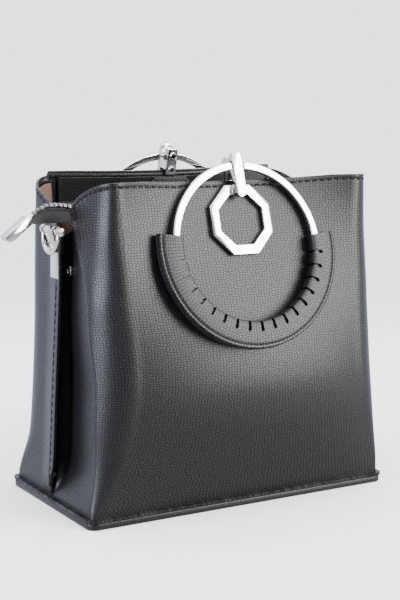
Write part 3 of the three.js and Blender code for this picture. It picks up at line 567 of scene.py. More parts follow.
def box_flow(bm):
    """A UV map in metres that looks at each face along its nearest axis."""
    uv = bm.loops.layers.uv.new("flow")
    for face in bm.faces:
        normal = [abs(part) for part in face.normal]
        drop = normal.index(max(normal))
        for loop in face.loops:
            kept = [part for axis, part in enumerate(loop.vert.co) if axis != drop]
            loop[uv].uv = kept


def rectangle(low, high, half):
    """The corners of a rectangle, from low to high and a half to each side."""
    return [(low, -half), (high, -half), (high, half), (low, half)]


def of_kind(parts, kind):
    """The verts, edges or faces among the parts that an operator gives back."""
    return [part for part in parts if isinstance(part, kind)]


def pulled(bm, faces, rise):
    """Draws faces out along Z by a rise in metres, and gives back the faces at the far end."""
    made = bmesh.ops.extrude_face_region(bm, geom=faces)["geom"]
    bmesh.ops.translate(bm, vec=(0.0, 0.0, rise), verts=of_kind(made, bmesh.types.BMVert))
    return of_kind(made, bmesh.types.BMFace)


def plate(bm, outline, thickness, start=0.0):
    """A flat plate over an outline in the XY plane, from start up by its thickness, in metres."""
    face = bm.faces.new([bm.verts.new((x, y, start)) for x, y in outline])
    pulled(bm, [face], thickness)
    bmesh.ops.recalc_face_normals(bm, faces=bm.faces)


def soften(bm, width, angle, segments=2):
    """Rounds every edge that turns by more than an angle."""
    edges = [edge for edge in bm.edges if edge.calc_face_angle(0.0) > math.radians(angle)]
    bmesh.ops.bevel(
        bm, geom=edges, offset=width * MM, offset_type="OFFSET", affect="EDGES", segments=segments,
        profile=0.5, material=-1, clamp_overlap=True)


bm = bmesh.new()
half_width = BASE["width"] / 2.0 * MM
plate(bm, rectangle(-half_width, half_width, BASE["depth"] / 2.0 * MM), BASE["thickness"] * MM)
upright = [edge for edge in bm.edges if abs((edge.verts[0].co - edge.verts[1].co).z) > 0.0]
bmesh.ops.bevel(
    bm, geom=upright, offset=BASE["corner"] * MM, affect="EDGES", segments=6, profile=0.5, material=-1)
soften(bm, BASE["edge"], angle=60.0, segments=3)
box_flow(bm)
settle(finished(bm, "base", sharp=50.0), "bag", "bag_leather", bag_leather, "base_panel")

# Lining
# Brown woven lining shows only at the two ends of the mouth, between the facings. It is sewn to the
# panels under their top edges and runs down into the bag.
LINING = {"inset": 2.7, "thickness": 0.8, "edge": 0.2, "foot": 155.0, "drop": 3.0}
LINING_TUCKS = ((-4.5, 9.0), (4.5, 9.0), (15.0, 4.0), (26.0, 1.0))
LINING_CORNER_FROM = 0.2
LINING_CORNER_STEPS = 8
LINING_BETWEEN = 3
LINING_ROWS = 16
SLUBS = {"scale": 120.0, "detail": 3.0}
CLOTH_BUMP = {"strength": 0.4, "depth": 0.12}


def weave_group():
    """Plain weave: threads over and under, as a height and a share of thread against gap."""
    group, inside, outside = node_group(
        "plain weave", ("Vector", "Threads per metre"), ("Height", "Thread", "Slub"))
    links = group.links
    place = inside["Vector"]
    turns = math_node(group, "MULTIPLY", inside["Threads per metre"], math.pi)
    scale = group.nodes.new("ShaderNodeVectorMath")
    scale.operation = "SCALE"
    links.new(place, scale.inputs[0])
    links.new(turns, scale.inputs["Scale"])
    parts = group.nodes.new("ShaderNodeSeparateXYZ")
    links.new(scale.outputs[0], parts.inputs[0])
    warp = math_node(group, "SINE", parts.outputs["X"])
    weft = math_node(group, "SINE", parts.outputs["Y"])
    over = math_node(group, "MULTIPLY", warp, weft)
    links.new(over, outside["Height"])
    links.new(math_node(group, "ABSOLUTE", over), outside["Thread"])
    links.new(noise(group, place, SLUBS["scale"], SLUBS["detail"])["Fac"], outside["Slub"])
    return group


WEAVE = weave_group()


def cloth_material(name, thread_colour, gap_colour, threads, roughness):
    """Woven cloth on the piece's own UV map."""
    material, tree, shader = new_material(name)
    weave = flow_group(tree, WEAVE, threads)
    colour_and_shine(tree, shader, weave["Thread"], (gap_colour, thread_colour), weave["Slub"], roughness)
    bump(tree, shader, weave["Height"], CLOTH_BUMP)
    return material


lining_cloth = cloth_material(
    "lining cloth", thread_colour=(0.2, 0.115, 0.08), gap_colour=(0.11, 0.06, 0.042), threads=1300.0,
    roughness=(0.6, 0.8))


def lining_keys():
    """Its main columns, from the front corner round the side to the back corner."""
    steps = range(LINING_CORNER_STEPS)
    corner = [("corner", lerp(LINING_CORNER_FROM, 1.0, i / LINING_CORNER_STEPS)) for i in steps]
    corner.append(("face", 1.0))
    front = [(column, "front") for column in reversed(corner)]
    side = [(("tuck", spot), "front" if spot[0] < 0.0 else "back") for spot in LINING_TUCKS]
    back = [(column, "back") for column in [("corner", 0.0)] + corner]
    return front + side + back


def lining_plan(key, z, inset):
    """A lining point's place: across to the side, and along from front to back."""
    (stretch, at), side = key
    if stretch == "tuck":
        return body_at(z)["half_width"] - inset - at[1], at[0]
    across, depth = wall_plan((stretch, at), z, inset, {**LAPS[side], "rise": 0.0}, -1)
    return across, -depth if side == "front" else depth


def lining_piece(name, hand):
    """The lining at one end of the mouth, straight between its main columns."""
    keys = lining_keys()
    if hand > 0:
        keys.reverse()
    inset = LINING["inset"] + LINING["thickness"]
    tops = []
    for key in keys:
        across, along = lining_plan(key, PANEL_HEIGHT, inset)
        tops.append(top_edge(LAPS[key[1]], across, abs(along)) - LINING["drop"])

    def key_place(k, j):
        z = lerp(LINING["foot"], tops[k], j / LINING_ROWS)
        across, along = lining_plan(keys[k], z, inset)
        return Vector((hand * across, along, z)) * MM

    def place(i, j):
        k = min(i // LINING_BETWEEN, len(keys) - 2)
        return key_place(k, j).lerp(key_place(k + 1, j), i / LINING_BETWEEN - k)

    across = (len(keys) - 1) * LINING_BETWEEN
    run = lengths([place(i, 0) for i in range(across + 1)])

    def flow(i, j):
        return run[i], place(i, j).z

    lining = sheet_piece(name, across, LINING_ROWS, place, flow)
    thicken(lining, LINING)
    mean_top = sum(place(i, LINING_ROWS).z for i in range(across + 1)) / (across + 1)
    return lining


for side, hand in (("left", -1), ("right", 1)):
    lining = lining_piece("lining_" + side + "_cloth", hand)
    settle(lining, "bag", "lining_cloth", lining_cloth, "lining_" + side)

# Zip facings
# A strip of the bag's leather hangs inside the mouth along each panel and folds in to the zip. It is sewn
# to the panel near the top edge and to the tape along its inner edge.
FACING = {
    "half": 84.2, "thickness": 1.5, "edge": 0.35, "inset": 2.6, "drop": 4.5, "inner": 7.0, "level": 195.4,
    "bend": 3.0,
}
FACING_STITCH = {"pitch": 4.5, "length": 3.3, "width": 0.7, "lift": 0.1}
FACING_COLUMNS = 44
FACING_WALL_ROWS = 10
FACING_BEND_ROWS = 5
FACING_STRIP_ROWS = 9
FACING_BLACK = (0.0055, 0.0055, 0.006)
FACING_ROUGHNESS = (0.36, 0.48)


def facing_path(x, lap):
    """The facing's visible face at a place along it: down the wall, round the fold and in to the zip."""
    inset = FACING["inset"] + FACING["thickness"]

    def wall(z):
        return face_depth(body_at(z), abs(x), lap) - inset

    top = top_edge(lap, abs(x)) - FACING["drop"]
    fold = FACING["level"] + FACING["bend"]
    strip_start = wall(fold) - FACING["bend"]
    path = []
    for i in range(FACING_WALL_ROWS):
        z = lerp(top, fold, i / FACING_WALL_ROWS)
        path.append((wall(z), z))
    for i in range(FACING_BEND_ROWS):
        angle = math.pi / 2.0 * i / FACING_BEND_ROWS
        depth = wall(fold) - FACING["bend"] * (1.0 - math.cos(angle))
        path.append((depth, fold - FACING["bend"] * math.sin(angle)))
    for i in range(FACING_STRIP_ROWS + 1):
        path.append((lerp(strip_start, FACING["inner"], i / FACING_STRIP_ROWS), FACING["level"]))
    return path


def facing_piece(name, lap):
    """One facing, and the stitches along its inner edge."""
    turn = lap["turn"]
    stations = [lerp(-FACING["half"], FACING["half"], i / FACING_COLUMNS) for i in range(FACING_COLUMNS + 1)]
    paths = [facing_path(x, lap) for x in stations]
    rows = len(paths[0]) - 1

    def place(i, j):
        depth, z = paths[i][j]
        return Vector((stations[i] * turn, -depth * turn, z)) * MM

    def flow(i, j):
        depth, z = paths[i][j]
        return stations[i] * MM, (z + depth) * MM

    facing = sheet_piece(name, FACING_COLUMNS, rows, place, flow)
    thicken(facing, FACING)
    bm = bmesh.new()
    seam_row = FACING_WALL_ROWS + FACING_BEND_ROWS + FACING_STRIP_ROWS - 1
    seam = [place(i, seam_row) for i in range(FACING_COLUMNS + 1)]
    sew(bm, seam, [Vector((0.0, 0.0, 1.0))] * len(seam), FACING_STITCH)
    return facing, finished(bm, "stitches_" + name)


facing_leather = leather_material("facing leather", FACING_BLACK, FACING_ROUGHNESS)
for side, lap in LAPS.items():
    facing, seam = facing_piece("facing_" + side, lap)
    settle(facing, "bag", "bag_leather", facing_leather, "zip_facing_" + side)
    settle(seam, "bag", "bag_leather", thread)

# Zip
# A black tape with a row of dark metal teeth along its ridge. It lies flat in the mouth, and its loose end
# folds to a tent that hangs out on the left, closed by a pressed metal cap. The slider rests at the right.
ZIP_COLUMNS = ("x", "ridge", "wing", "spread")
ZIP_STATIONS = [dict(zip(ZIP_COLUMNS, row)) for row in (
    (94.0, 193.6, 14.0, 90.0),
    (-86.0, 193.6, 14.0, 90.0),
    (-89.0, 195.4, 12.4, 48.0),
    (-92.0, 197.4, 10.6, 22.0),
    (-96.0, 199.0, 10.0, 12.0),
    (-104.0, 200.7, 9.9, 10.0),
    (-110.0, 201.4, 10.6, 9.0),
    (-117.0, 201.2, 10.4, 10.0),
    (-123.0, 198.6, 7.8, 18.0),
    (-127.5, 195.6, 5.4, 30.0),
)]
TAPE = {"thickness": 0.9, "edge": 0.2}
TAPE_STEP = 1.6
TAPE_WING_STEPS = 6
TOOTH = {
    "pitch": 3.3, "length": 2.3, "width": 4.4, "height": 2.0, "stagger": 0.35, "edge": 0.3, "clear": 0.3,
    "crown": 0.68,
}
SMUDGES = {"scale": 70.0, "detail": 4.0}
RUB_LINES = {"scale": 2600.0, "stretch": (0.15, 1.0, 1.0)}
METAL_BUMP = {"strength": 0.04, "depth": 0.02}


def zip_at(x):
    """The zip's ridge and wings at a place along it."""
    upper = next(i for i, row in enumerate(ZIP_STATIONS) if row["x"] <= x and i > 0)
    before, after = ZIP_STATIONS[upper - 1], ZIP_STATIONS[upper]
    share = (before["x"] - x) / (before["x"] - after["x"])
    return {key: lerp(before[key], after[key], share) for key in ZIP_COLUMNS}


zip_end = ZIP_STATIONS[-1]["x"]
zip_start = ZIP_STATIONS[0]["x"]
tape_stations = [zip_at(zip_end + i * TAPE_STEP) for i in range(int((zip_start - zip_end) / TAPE_STEP) + 1)]


def tape_place(i, j):
    """A point of the tape, from one wing over the ridge to the other."""
    station = tape_stations[i]
    share = (j - TAPE_WING_STEPS) / TAPE_WING_STEPS
    angle = math.radians(station["spread"])
    out = station["wing"] * share * math.sin(angle)
    drop = station["wing"] * abs(share) * math.cos(angle)
    return Vector((station["x"], out, station["ridge"] - drop)) * MM


def tape_flow(i, j):
    """The tape's UV map, along it and across it."""
    return tape_stations[i]["x"] * MM, tape_stations[i]["wing"] * (j / TAPE_WING_STEPS - 1.0) * MM


tape_cloth = cloth_material(
    "zip tape cloth", thread_colour=(0.012, 0.012, 0.013), gap_colour=(0.004, 0.004, 0.0045), threads=1500.0,
    roughness=(0.5, 0.65))
tape = sheet_piece("zip_tape_cloth", len(tape_stations) - 1, 2 * TAPE_WING_STEPS, tape_place, tape_flow)
thicken(tape, TAPE)
settle(tape, "bag", "zip_tape", tape_cloth, "zip_tape")


def metal_group():
    """Handled metal: faint smudges and fine rubbing lines, as shares for roughness and colour."""
    group, inside, outside = node_group("handled metal", ("Vector",), ("Smudge", "Lines"))
    place = inside["Vector"]
    smudge = noise(group, place, SMUDGES["scale"], SMUDGES["detail"])["Fac"]
    group.links.new(smudge, outside["Smudge"])
    stretch = vector_node(group, "MULTIPLY", place, RUB_LINES["stretch"])["Vector"]
    group.links.new(noise(group, stretch, RUB_LINES["scale"])["Fac"], outside["Lines"])
    return group


METAL = metal_group()


def metal_material(name, bright, dull, roughness):
    """Metal that is duller and rougher where it is smudged."""
    material, tree, shader = new_material(name)
    place = tree.nodes.new("ShaderNodeTexCoord")
    worn = tree.nodes.new("ShaderNodeGroup")
    worn.node_tree = METAL
    tree.links.new(place.outputs["Object"], worn.inputs["Vector"])
    smudge = worn.outputs["Smudge"]
    colour_and_shine(tree, shader, smudge, (bright, dull), smudge, roughness)
    preset(shader, {"Metallic": 1.0})
    bump(tree, shader, worn.outputs["Lines"], METAL_BUMP)
    return material


dark_metal = metal_material(
    "gunmetal", bright=(0.2, 0.2, 0.21), dull=(0.13, 0.13, 0.135), roughness=(0.22, 0.36))
nickel = metal_material(
    "polished nickel", bright=(0.83, 0.81, 0.78), dull=(0.72, 0.7, 0.675), roughness=(0.08, 0.2))

bm = bmesh.new()
tooth_lift = TOOTH["clear"] + TOOTH["height"] / 2.0
ridge = [Vector((row["x"], 0.0, row["ridge"] + tooth_lift)) * MM for row in tape_stations]
for number, (place, along, _) in enumerate(resampled(ridge, TOOTH["pitch"] * MM)):
    tilt = Matrix.Rotation(-math.atan2(along.z, along.x), 4, "Y")
    side = TOOTH["stagger"] * MM * (1 if number % 2 else -1)
    size = Matrix.Diagonal((TOOTH["length"] * MM, TOOTH["width"] * MM, TOOTH["height"] * MM, 1.0))
    laid = Matrix.Translation(place + Vector((0.0, side, 0.0))) @ tilt @ size
    made = bmesh.ops.create_cube(bm, size=1.0, matrix=laid)["verts"]
    crown = [vert for vert in made if (tilt.inverted() @ (vert.co - place)).z > 0.0]
    bmesh.ops.scale(bm, vec=(1.0, TOOTH["crown"], 1.0), space=Matrix.Translation(-place), verts=crown)
soften(bm, TOOTH["edge"], angle=40.0, segments=1)
settle(finished(bm, "zip_teeth_row", sharp=40.0), "bag", "dark_metal", dark_metal, "zip_teeth")


def polished_copy(node, name, slot, material, edge, segments=2):
    """A frame solid of the bag with its edges broken, as tumbling and polishing leave a casting."""
    bm = bmesh.new()
    bm.from_mesh(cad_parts[node].data)
    bmesh.ops.remove_doubles(bm, verts=bm.verts, dist=0.01 * MM)
    bmesh.ops.dissolve_limit(
        bm, angle_limit=math.radians(2.0), use_dissolve_boundaries=False, verts=bm.verts, edges=bm.edges)
    soften(bm, edge, angle=28.0, segments=segments)
    settle(finished(bm, name, sharp=32.0), "bag", slot, material, node)


polished_copy("zip_slider", "zip_slider_pull", "dark_metal", dark_metal, edge=0.5)
polished_copy("zip_end_cap", "zip_cap", "polished_nickel", nickel, edge=0.6, segments=3)

# Handle fittings
# At the middle of each panel a cast nickel link straddles the top edge and is screwed from inside through
# a sewn leather patch. Its outer leaf holds an octagon frame flat on the panel.
PANEL_TOPS = {
    "front": {"y": -40.5, "z": PANEL_HEIGHT - LAPS["front"]["mid_dip"], "lean": 16.5, "turn": 0.0},
    "back": {"y": -47.0, "z": PANEL_HEIGHT - LAPS["back"]["mid_dip"], "lean": 12.4, "turn": math.pi},
}
OCTAGON = {"flats": 46.5, "bar": 6.5, "stand_off": 0.9, "thickness": 3.0, "below": 26.9, "edge": 0.55}
PATCH = {
    "top": 25.0, "full": 46.0, "slope": 10.5, "height": 15.5, "below": 4.0, "thickness": 1.4,
    "stand_off": 4.3, "edge": 0.4, "seam": 2.0, "taper": 0.4,
}
PATCH_STITCH = {"pitch": 3.2, "length": 2.3, "width": 0.6, "lift": 0.1}


def leaning(side):
    """The frame of a handle: up along the panel and out from it, from the middle of its top edge."""
    top = PANEL_TOPS[side]
    place = Matrix.Translation(Vector((0.0, top["y"], top["z"])) * MM)
    tilt = Matrix.Rotation(math.radians(90.0 - top["lean"]), 4, "X")
    return Matrix.Rotation(top["turn"], 4, "Z") @ place @ tilt


def octagon_piece(side):
    """The flat octagon frame, with its window cut out."""
    bm = bmesh.new()
    half_turn = math.pi / 8.0
    radius = OCTAGON["flats"] / 2.0 / math.cos(half_turn) * MM
    flat_up = Matrix.Rotation(half_turn, 4, "Z")
    bmesh.ops.create_circle(bm, cap_ends=True, segments=8, radius=radius, matrix=flat_up)
    bar = OCTAGON["bar"] * MM
    bmesh.ops.inset_region(bm, faces=bm.faces[:], thickness=bar, use_boundary=True, use_even_offset=True)
    window = [face for face in bm.faces if len(face.verts) == 8]
    bmesh.ops.delete(bm, geom=window, context="FACES")
    bmesh.ops.solidify(bm, geom=bm.faces[:], thickness=OCTAGON["thickness"] * MM)
    bmesh.ops.recalc_face_normals(bm, faces=bm.faces)
    low = min(vert.co.z for vert in bm.verts)
    bmesh.ops.translate(
        bm, vec=(0.0, -OCTAGON["below"] * MM, OCTAGON["stand_off"] * MM - low), verts=bm.verts)
    soften(bm, OCTAGON["edge"], angle=60.0)
    return finished(bm, "octagon_frame_" + side, leaning(side), sharp=25.0)


def patch_outline(margin):
    """The patch's outline, drawn in from its edge by a margin, in metres from the panel's top."""
    foot = -PATCH["below"] - PATCH["height"]
    shoulder = -PATCH["below"] - PATCH["slope"]
    top = -PATCH["below"] - margin
    wide = PATCH["full"] / 2.0 - margin
    narrow = PATCH["top"] / 2.0 - PATCH["taper"] * margin
    half = [(wide, foot), (wide, shoulder), (narrow, top)]
    outline = [(-wide, foot)] + half + [(-x, y) for x, y in half[:0:-1]]
    return [(x * MM, y * MM) for x, y in outline]


def patch_pieces(side):
    """One patch, and the stitches round its sides and top."""
    bm = bmesh.new()
    level = -(PATCH["stand_off"] + PATCH["thickness"]) * MM
    plate(bm, patch_outline(0.0), PATCH["thickness"] * MM, level)
    soften(bm, PATCH["edge"], angle=30.0)
    box_flow(bm)
    patch = finished(bm, "patch_" + side, leaning(side), sharp=40.0)
    bm = bmesh.new()
    line = [Vector((x, y, level)) for x, y in patch_outline(PATCH["seam"])]
    line = line[1:] + line[:1]
    sew(bm, line, [Vector((0.0, 0.0, -1.0))] * len(line), PATCH_STITCH)
    return patch, finished(bm, "stitches_patch_" + side, leaning(side))


for side in ("front", "back"):
    settle(octagon_piece(side), "bag", "polished_nickel", nickel, "octagon_" + side)
    patch, seam = patch_pieces(side)
    settle(patch, "bag", "bag_leather", facing_leather, "handle_patch_" + side)
    settle(seam, "bag", "bag_leather", thread)
    polished_copy("link_" + side, "link_" + side + "_cast", "polished_nickel", nickel, edge=0.45)
    for place in ("upper", "lower"):
        screw = "link_screw_" + side + "_" + place
        polished_copy(screw, screw + "_head", "polished_nickel", nickel, edge=0.15, segments=1)

# Ring handles
# Each handle is a flat nickel bar bent to a ring, closed by the pin that turns in the link. It hangs
# against the panel and swings up over the bag. Under the grip the bar is black: painted shade for the slits.
PIVOT = {"up": 8.5, "out": 6.3, "pin": 1.3, "overlap": 1.0}
RING = {"outer": 56.6, "inner": 51.6, "thickness": 4.0, "edge": 0.7, "half_gap": 5.2, "steps": 120}
RING_DROP = (RING["outer"] + RING["inner"]) / 2.0
# Faces of the bar below this angle over the ring's middle take the black painted shade under the grip.
SLIT_SHADE_END = math.radians(3.0)
WELD = 0.001


def swinging(side):
    """The frame of a ring, from its pin, lying flat over the panel."""
    return leaning(side) @ Matrix.Translation(Vector((0.0, PIVOT["up"], PIVOT["out"])) * MM)


def section_face(bm, points, edge):
    """A flat section through points in millimetres, with its corners rounded off."""
    face = bm.faces.new([bm.verts.new(Vector(point) * MM) for point in points])
    if edge:
        bmesh.ops.bevel(
            bm, geom=face.verts[:], offset=edge * MM, affect="VERTICES", segments=3, profile=0.5, material=-1)


def spin(bm, centre, axis, angle, steps, geom, merge=False):
    """Sweeps parts round an axis, and gives back the last ones."""
    return bmesh.ops.spin(
        bm, geom=geom, cent=centre, axis=axis, angle=angle, steps=steps, use_merge=merge)["geom_last"]


def welded(bm):
    """Joins the points that lie together, and turns every face outward."""
    bmesh.ops.remove_doubles(bm, verts=bm.verts, dist=WELD * MM)
    bmesh.ops.recalc_face_normals(bm, faces=bm.faces)


def spun(bm, outline, edge, start, sweep, steps):
    """A solid swept round the ring's centre by a section in radius and height, given in millimetres."""
    section_face(bm, [(radius, 0.0, height) for radius, height in outline], edge)
    section = bm.verts[:] + bm.edges[:] + bm.faces[:]
    bmesh.ops.rotate(bm, cent=(0.0, 0.0, 0.0), matrix=Matrix.Rotation(start, 3, "Z"), verts=bm.verts)
    spin(bm, (0.0, 0.0, 0.0), (0.0, 0.0, 1.0), sweep, steps, section)
    welded(bm)
    bmesh.ops.translate(bm, vec=(0.0, -RING_DROP * MM, 0.0), verts=bm.verts)


def ring_piece(side):
    """The ring bar with its pin, coloured black below its middle as painted shade for the grip's slits."""
    bm = bmesh.new()
    gap = math.asin(RING["half_gap"] / RING_DROP)
    outline = rectangle(RING["inner"], RING["outer"], RING["thickness"] / 2.0)
    spun(bm, outline, RING["edge"], math.pi / 2.0 + gap, 2.0 * (math.pi - gap), RING["steps"])
    bmesh.ops.create_cone(
        bm, cap_ends=True, segments=20, radius1=PIVOT["pin"] * MM, radius2=PIVOT["pin"] * MM,
        depth=2.0 * (RING["half_gap"] + PIVOT["overlap"]) * MM, matrix=Matrix.Rotation(math.pi / 2.0, 4, "Y"))
    for face in bm.faces:
        arm = face.calc_center_median() + Vector((0.0, RING_DROP * MM, 0.0))
        # Faces under the grip get the black painted shade, so the bar seen in the slits reads dark.
        face.material_index = 1 if math.atan2(arm.y, abs(arm.x)) < SLIT_SHADE_END else 0
    box_flow(bm)
    return finished(bm, "ring_" + side + "_bar", swinging(side), sharp=40.0)


# Grips
# Two layers of black embossed leather are folded round the lower half of each ring and sewn together along
# the outer rim. Drop-shaped slits are punched across the fold, so that the bar shows through.
GRIP_START = -math.pi - math.radians(10.0)
GRIP_SWEEP = math.pi + math.radians(15.5)
GRIP_STEPS = 110
GRIP_FACE = [
    (49.5, 2.4), (50.1, 3.5), (51.4, 4.0), (54.0, 4.1), (56.8, 4.1), (59.0, 4.0), (61.4, 3.85), (63.4, 3.65),
    (64.5, 3.5), (65.2, 3.0), (65.9, 3.35), (67.1, 3.2), (67.7, 2.7), (67.9, 0.6), (67.2, 0.0),
]
GRIP_BACK = [
    (49.5, 2.4), (50.1, 3.5), (51.4, 4.0), (54.0, 4.1), (56.8, 4.0), (59.0, 3.6), (61.4, 3.0), (63.4, 2.4),
    (64.5, 2.15), (65.2, 1.75), (65.9, 2.0), (67.1, 1.9), (67.7, 1.5), (67.9, 0.6),
]
TUNNEL_GAP = 0.25
TUNNEL_OVERRUN = 0.1
SLIT = {
    "count": 17, "first": math.radians(7.5), "inner": 47.6, "shoulder": 55.4, "tip": 56.8, "inner_half": 0.7,
    "outer_half": 1.35, "tip_run": 0.3, "tip_half": 0.55, "reach": 8.0,
}
GRIP_FLOW_RADIUS = 60.0
GRIP_SEAM = {"radius": 65.2, "heights": (-1.75, 3.0), "margin": 0.02, "steps": 120}
GRIP_STITCH = {"pitch": 4.2, "length": 3.1, "width": 1.1, "lift": 0.1}


def add_shape(bm, spare):
    """Moves a spare bmesh's shape into another."""
    mesh = bpy.data.meshes.new("spare")
    spare.to_mesh(mesh)
    spare.free()
    bm.from_mesh(mesh)
    bpy.data.meshes.remove(mesh)


def grip_cutters():
    """The tunnel for the bar, and all the slits as one tool."""
    bm = bmesh.new()
    section = rectangle(
        RING["inner"] - TUNNEL_GAP, RING["outer"] + TUNNEL_GAP, RING["thickness"] / 2.0 + TUNNEL_GAP)
    spun(bm, section, 0.0, GRIP_START - TUNNEL_OVERRUN, GRIP_SWEEP + 2.0 * TUNNEL_OVERRUN, GRIP_STEPS)
    tunnel = finished(bm, "tunnel")
    bm = bmesh.new()
    sweep = math.pi - 2.0 * SLIT["first"]
    near_tip = (SLIT["tip"] - SLIT["tip_run"], SLIT["tip_half"] * SLIT["outer_half"])
    half = [near_tip, (SLIT["shoulder"], SLIT["outer_half"]), (SLIT["inner"], SLIT["inner_half"])]
    outline = [(x, -y) for x, y in half[::-1]] + [(SLIT["tip"], 0.0)] + half
    for number in range(SLIT["count"]):
        slit = bmesh.new()
        plate(slit, [(x * MM, y * MM) for x, y in outline], 2.0 * SLIT["reach"] * MM, -SLIT["reach"] * MM)
        angle = -SLIT["first"] - number * sweep / (SLIT["count"] - 1)
        bmesh.ops.rotate(slit, cent=(0.0, 0.0, 0.0), matrix=Matrix.Rotation(angle, 3, "Z"), verts=slit.verts)
        bmesh.ops.translate(slit, vec=(0.0, -RING_DROP * MM, 0.0), verts=slit.verts)
        add_shape(bm, slit)
    return tunnel, finished(bm, "slits", smooth=False)


def grip_piece(side):
    """One grip with its tunnel and slits cut."""
    bm = bmesh.new()
    outline = [(radius, -height) for radius, height in GRIP_BACK] + GRIP_FACE[::-1]
    spun(bm, outline, 0.0, GRIP_START, GRIP_SWEEP, GRIP_STEPS)
    grip = finished(bm, "grip_" + side + "_leather")
    tools = grip_cutters()
    for tool in tools:
        cut = grip.modifiers.new("cut", "BOOLEAN")
        cut.operation = "DIFFERENCE"
        cut.solver = "EXACT"
        cut.object = tool
    bpy.context.view_layer.update()
    done = bpy.data.meshes.new_from_object(grip.evaluated_get(bpy.context.evaluated_depsgraph_get()))
    grip.modifiers.clear()
    grip.data = done
    for tool in tools:
        bpy.data.objects.remove(tool)
    bm = bmesh.new()
    bm.from_mesh(done)
    uv = bm.loops.layers.uv.new("flow")
    centre = Vector((0.0, -RING_DROP * MM, 0.0))
    for face in bm.faces:
        face.smooth = True
        for loop in face.loops:
            arm = loop.vert.co - centre
            radius = math.hypot(arm.x, arm.y)
            turned = math.atan2(-arm.x, -arm.y)
            loop[uv].uv = (turned * GRIP_FLOW_RADIUS * MM, radius + arm.z)
    bmesh.ops.transform(bm, matrix=swinging(side), verts=bm.verts)
    bm.to_mesh(done)
    bm.free()
    done.set_sharp_from_angle(angle=math.radians(38.0))
    return grip


def grip_stitches(side):
    """The stitches along the rim of a grip, on both its faces."""
    bm = bmesh.new()
    sewn_sweep = GRIP_SWEEP - 2.0 * GRIP_SEAM["margin"]
    for height in GRIP_SEAM["heights"]:
        seam = []
        for i in range(GRIP_SEAM["steps"] + 1):
            angle = GRIP_START + GRIP_SEAM["margin"] + sewn_sweep * i / GRIP_SEAM["steps"]
            x = GRIP_SEAM["radius"] * math.cos(angle)
            y = GRIP_SEAM["radius"] * math.sin(angle) - RING_DROP
            seam.append(Vector((x, y, height)) * MM)
        sew(bm, seam, [Vector((0.0, 0.0, height))] * len(seam), GRIP_STITCH)
    return finished(bm, "stitches_grip_" + side, swinging(side))


grip_leather = leather_material("grip leather", BAG_BLACK, BAG_ROUGHNESS)
# A black weave on the bar under the grip: painted shade that darkens the slits.
slit_shade_cloth = cloth_material(
    "slit painted shade", thread_colour=(0.006, 0.006, 0.007), gap_colour=(0.002, 0.002, 0.002), threads=1400.0,
    roughness=(0.35, 0.5))
for side in ("front", "back"):
    ring = settle(ring_piece(side), side + "_handle", "polished_nickel", nickel, "ring_" + side)
    ring.data.materials.append(slit_shade_cloth)
    settle(grip_piece(side), side + "_handle", "grip_leather", grip_leather, "grip_" + side)
    settle(grip_stitches(side), side + "_handle", "grip_leather", thread)

# Strap fittings
# On each side a folded nickel tab fixed to the lap carries a bow shackle for a shoulder strap, held by a
# screw pin with a faceted ball. A press stud sits on the front half of the side.
SHACKLE_PIN = {
    "x": 114.0, "y": -1.3, "z": 186.2, "radius": 1.5, "stubs": 2.0, "nut": 2.3, "nut_length": 1.6,
    "gap": 0.3, "ball": 2.9, "ball_out": 0.95, "edge": 0.25,
}
COLLAR = {"share": 0.75, "length": 0.5, "out": 0.1}
SHACKLE = {
    "spacing": 22.2, "width": 3.2, "thickness": 2.6, "straight": 3.6, "eye": 3.0, "steps": 28, "rest": 4.0,
    "edge": 0.8, "eye_edge": 0.4,
}
STUD = {"y": -5.0, "z": 159.0, "radius": 3.5, "height": 2.0, "clear": 1.25, "steps": 32}
STUD_SECTION = (
    (0.0, 0.6), (0.4, 0.6), (0.5, 1.0), (0.8, 1.0), (0.95, 0.85), (1.0, 0.55), (1.0, 0.0), (0.0, 0.0),
)


def hanging(hand):
    """The frame of a shackle, at the middle of its pin."""
    place = Vector((hand * SHACKLE_PIN["x"], SHACKLE_PIN["y"], SHACKLE_PIN["z"])) * MM
    return Matrix.Translation(place) @ Matrix.Rotation(-hand * math.radians(SHACKLE["rest"]), 4, "Y")


def rod_along_y(bm, radius, length, y, segments):
    """A short round bar lying along Y, in millimetres."""
    bmesh.ops.create_cone(
        bm, cap_ends=True, segments=segments, radius1=radius * MM, radius2=radius * MM, depth=length * MM,
        matrix=Matrix.Translation((0.0, y * MM, 0.0)) @ Matrix.Rotation(math.pi / 2.0, 4, "X"))


def shackle_piece(name, hand):
    """The bow of a shackle: two straight legs, the round end between them and an eye on each leg."""
    bm = bmesh.new()
    radius = SHACKLE["spacing"] / 2.0
    leg = SHACKLE["straight"] * MM
    half_wide = SHACKLE["width"] / 2.0
    corners = rectangle(-half_wide, half_wide, SHACKLE["thickness"] / 2.0)
    section_face(bm, [(x, radius + y, 0.0) for x, y in corners], SHACKLE["edge"])
    end = pulled(bm, bm.faces[:], -leg)
    far = spin(bm, (0.0, 0.0, -leg), (-1.0, 0.0, 0.0), math.pi, SHACKLE["steps"], end)
    pulled(bm, of_kind(far, bmesh.types.BMFace), leg)
    bmesh.ops.remove_doubles(bm, verts=bm.verts, dist=WELD * MM)
    inner = [face for face in bm.faces if all(len(edge.link_faces) > 2 for edge in face.edges)]
    bmesh.ops.delete(bm, geom=inner, context="FACES")
    bmesh.ops.recalc_face_normals(bm, faces=bm.faces)
    eyes = bmesh.new()
    for y in (-radius, radius):
        rod_along_y(eyes, SHACKLE["eye"], SHACKLE["thickness"], y, segments=24)
    soften(eyes, SHACKLE["eye_edge"], angle=60.0)
    add_shape(bm, eyes)
    return finished(bm, name, hanging(hand), sharp=35.0)


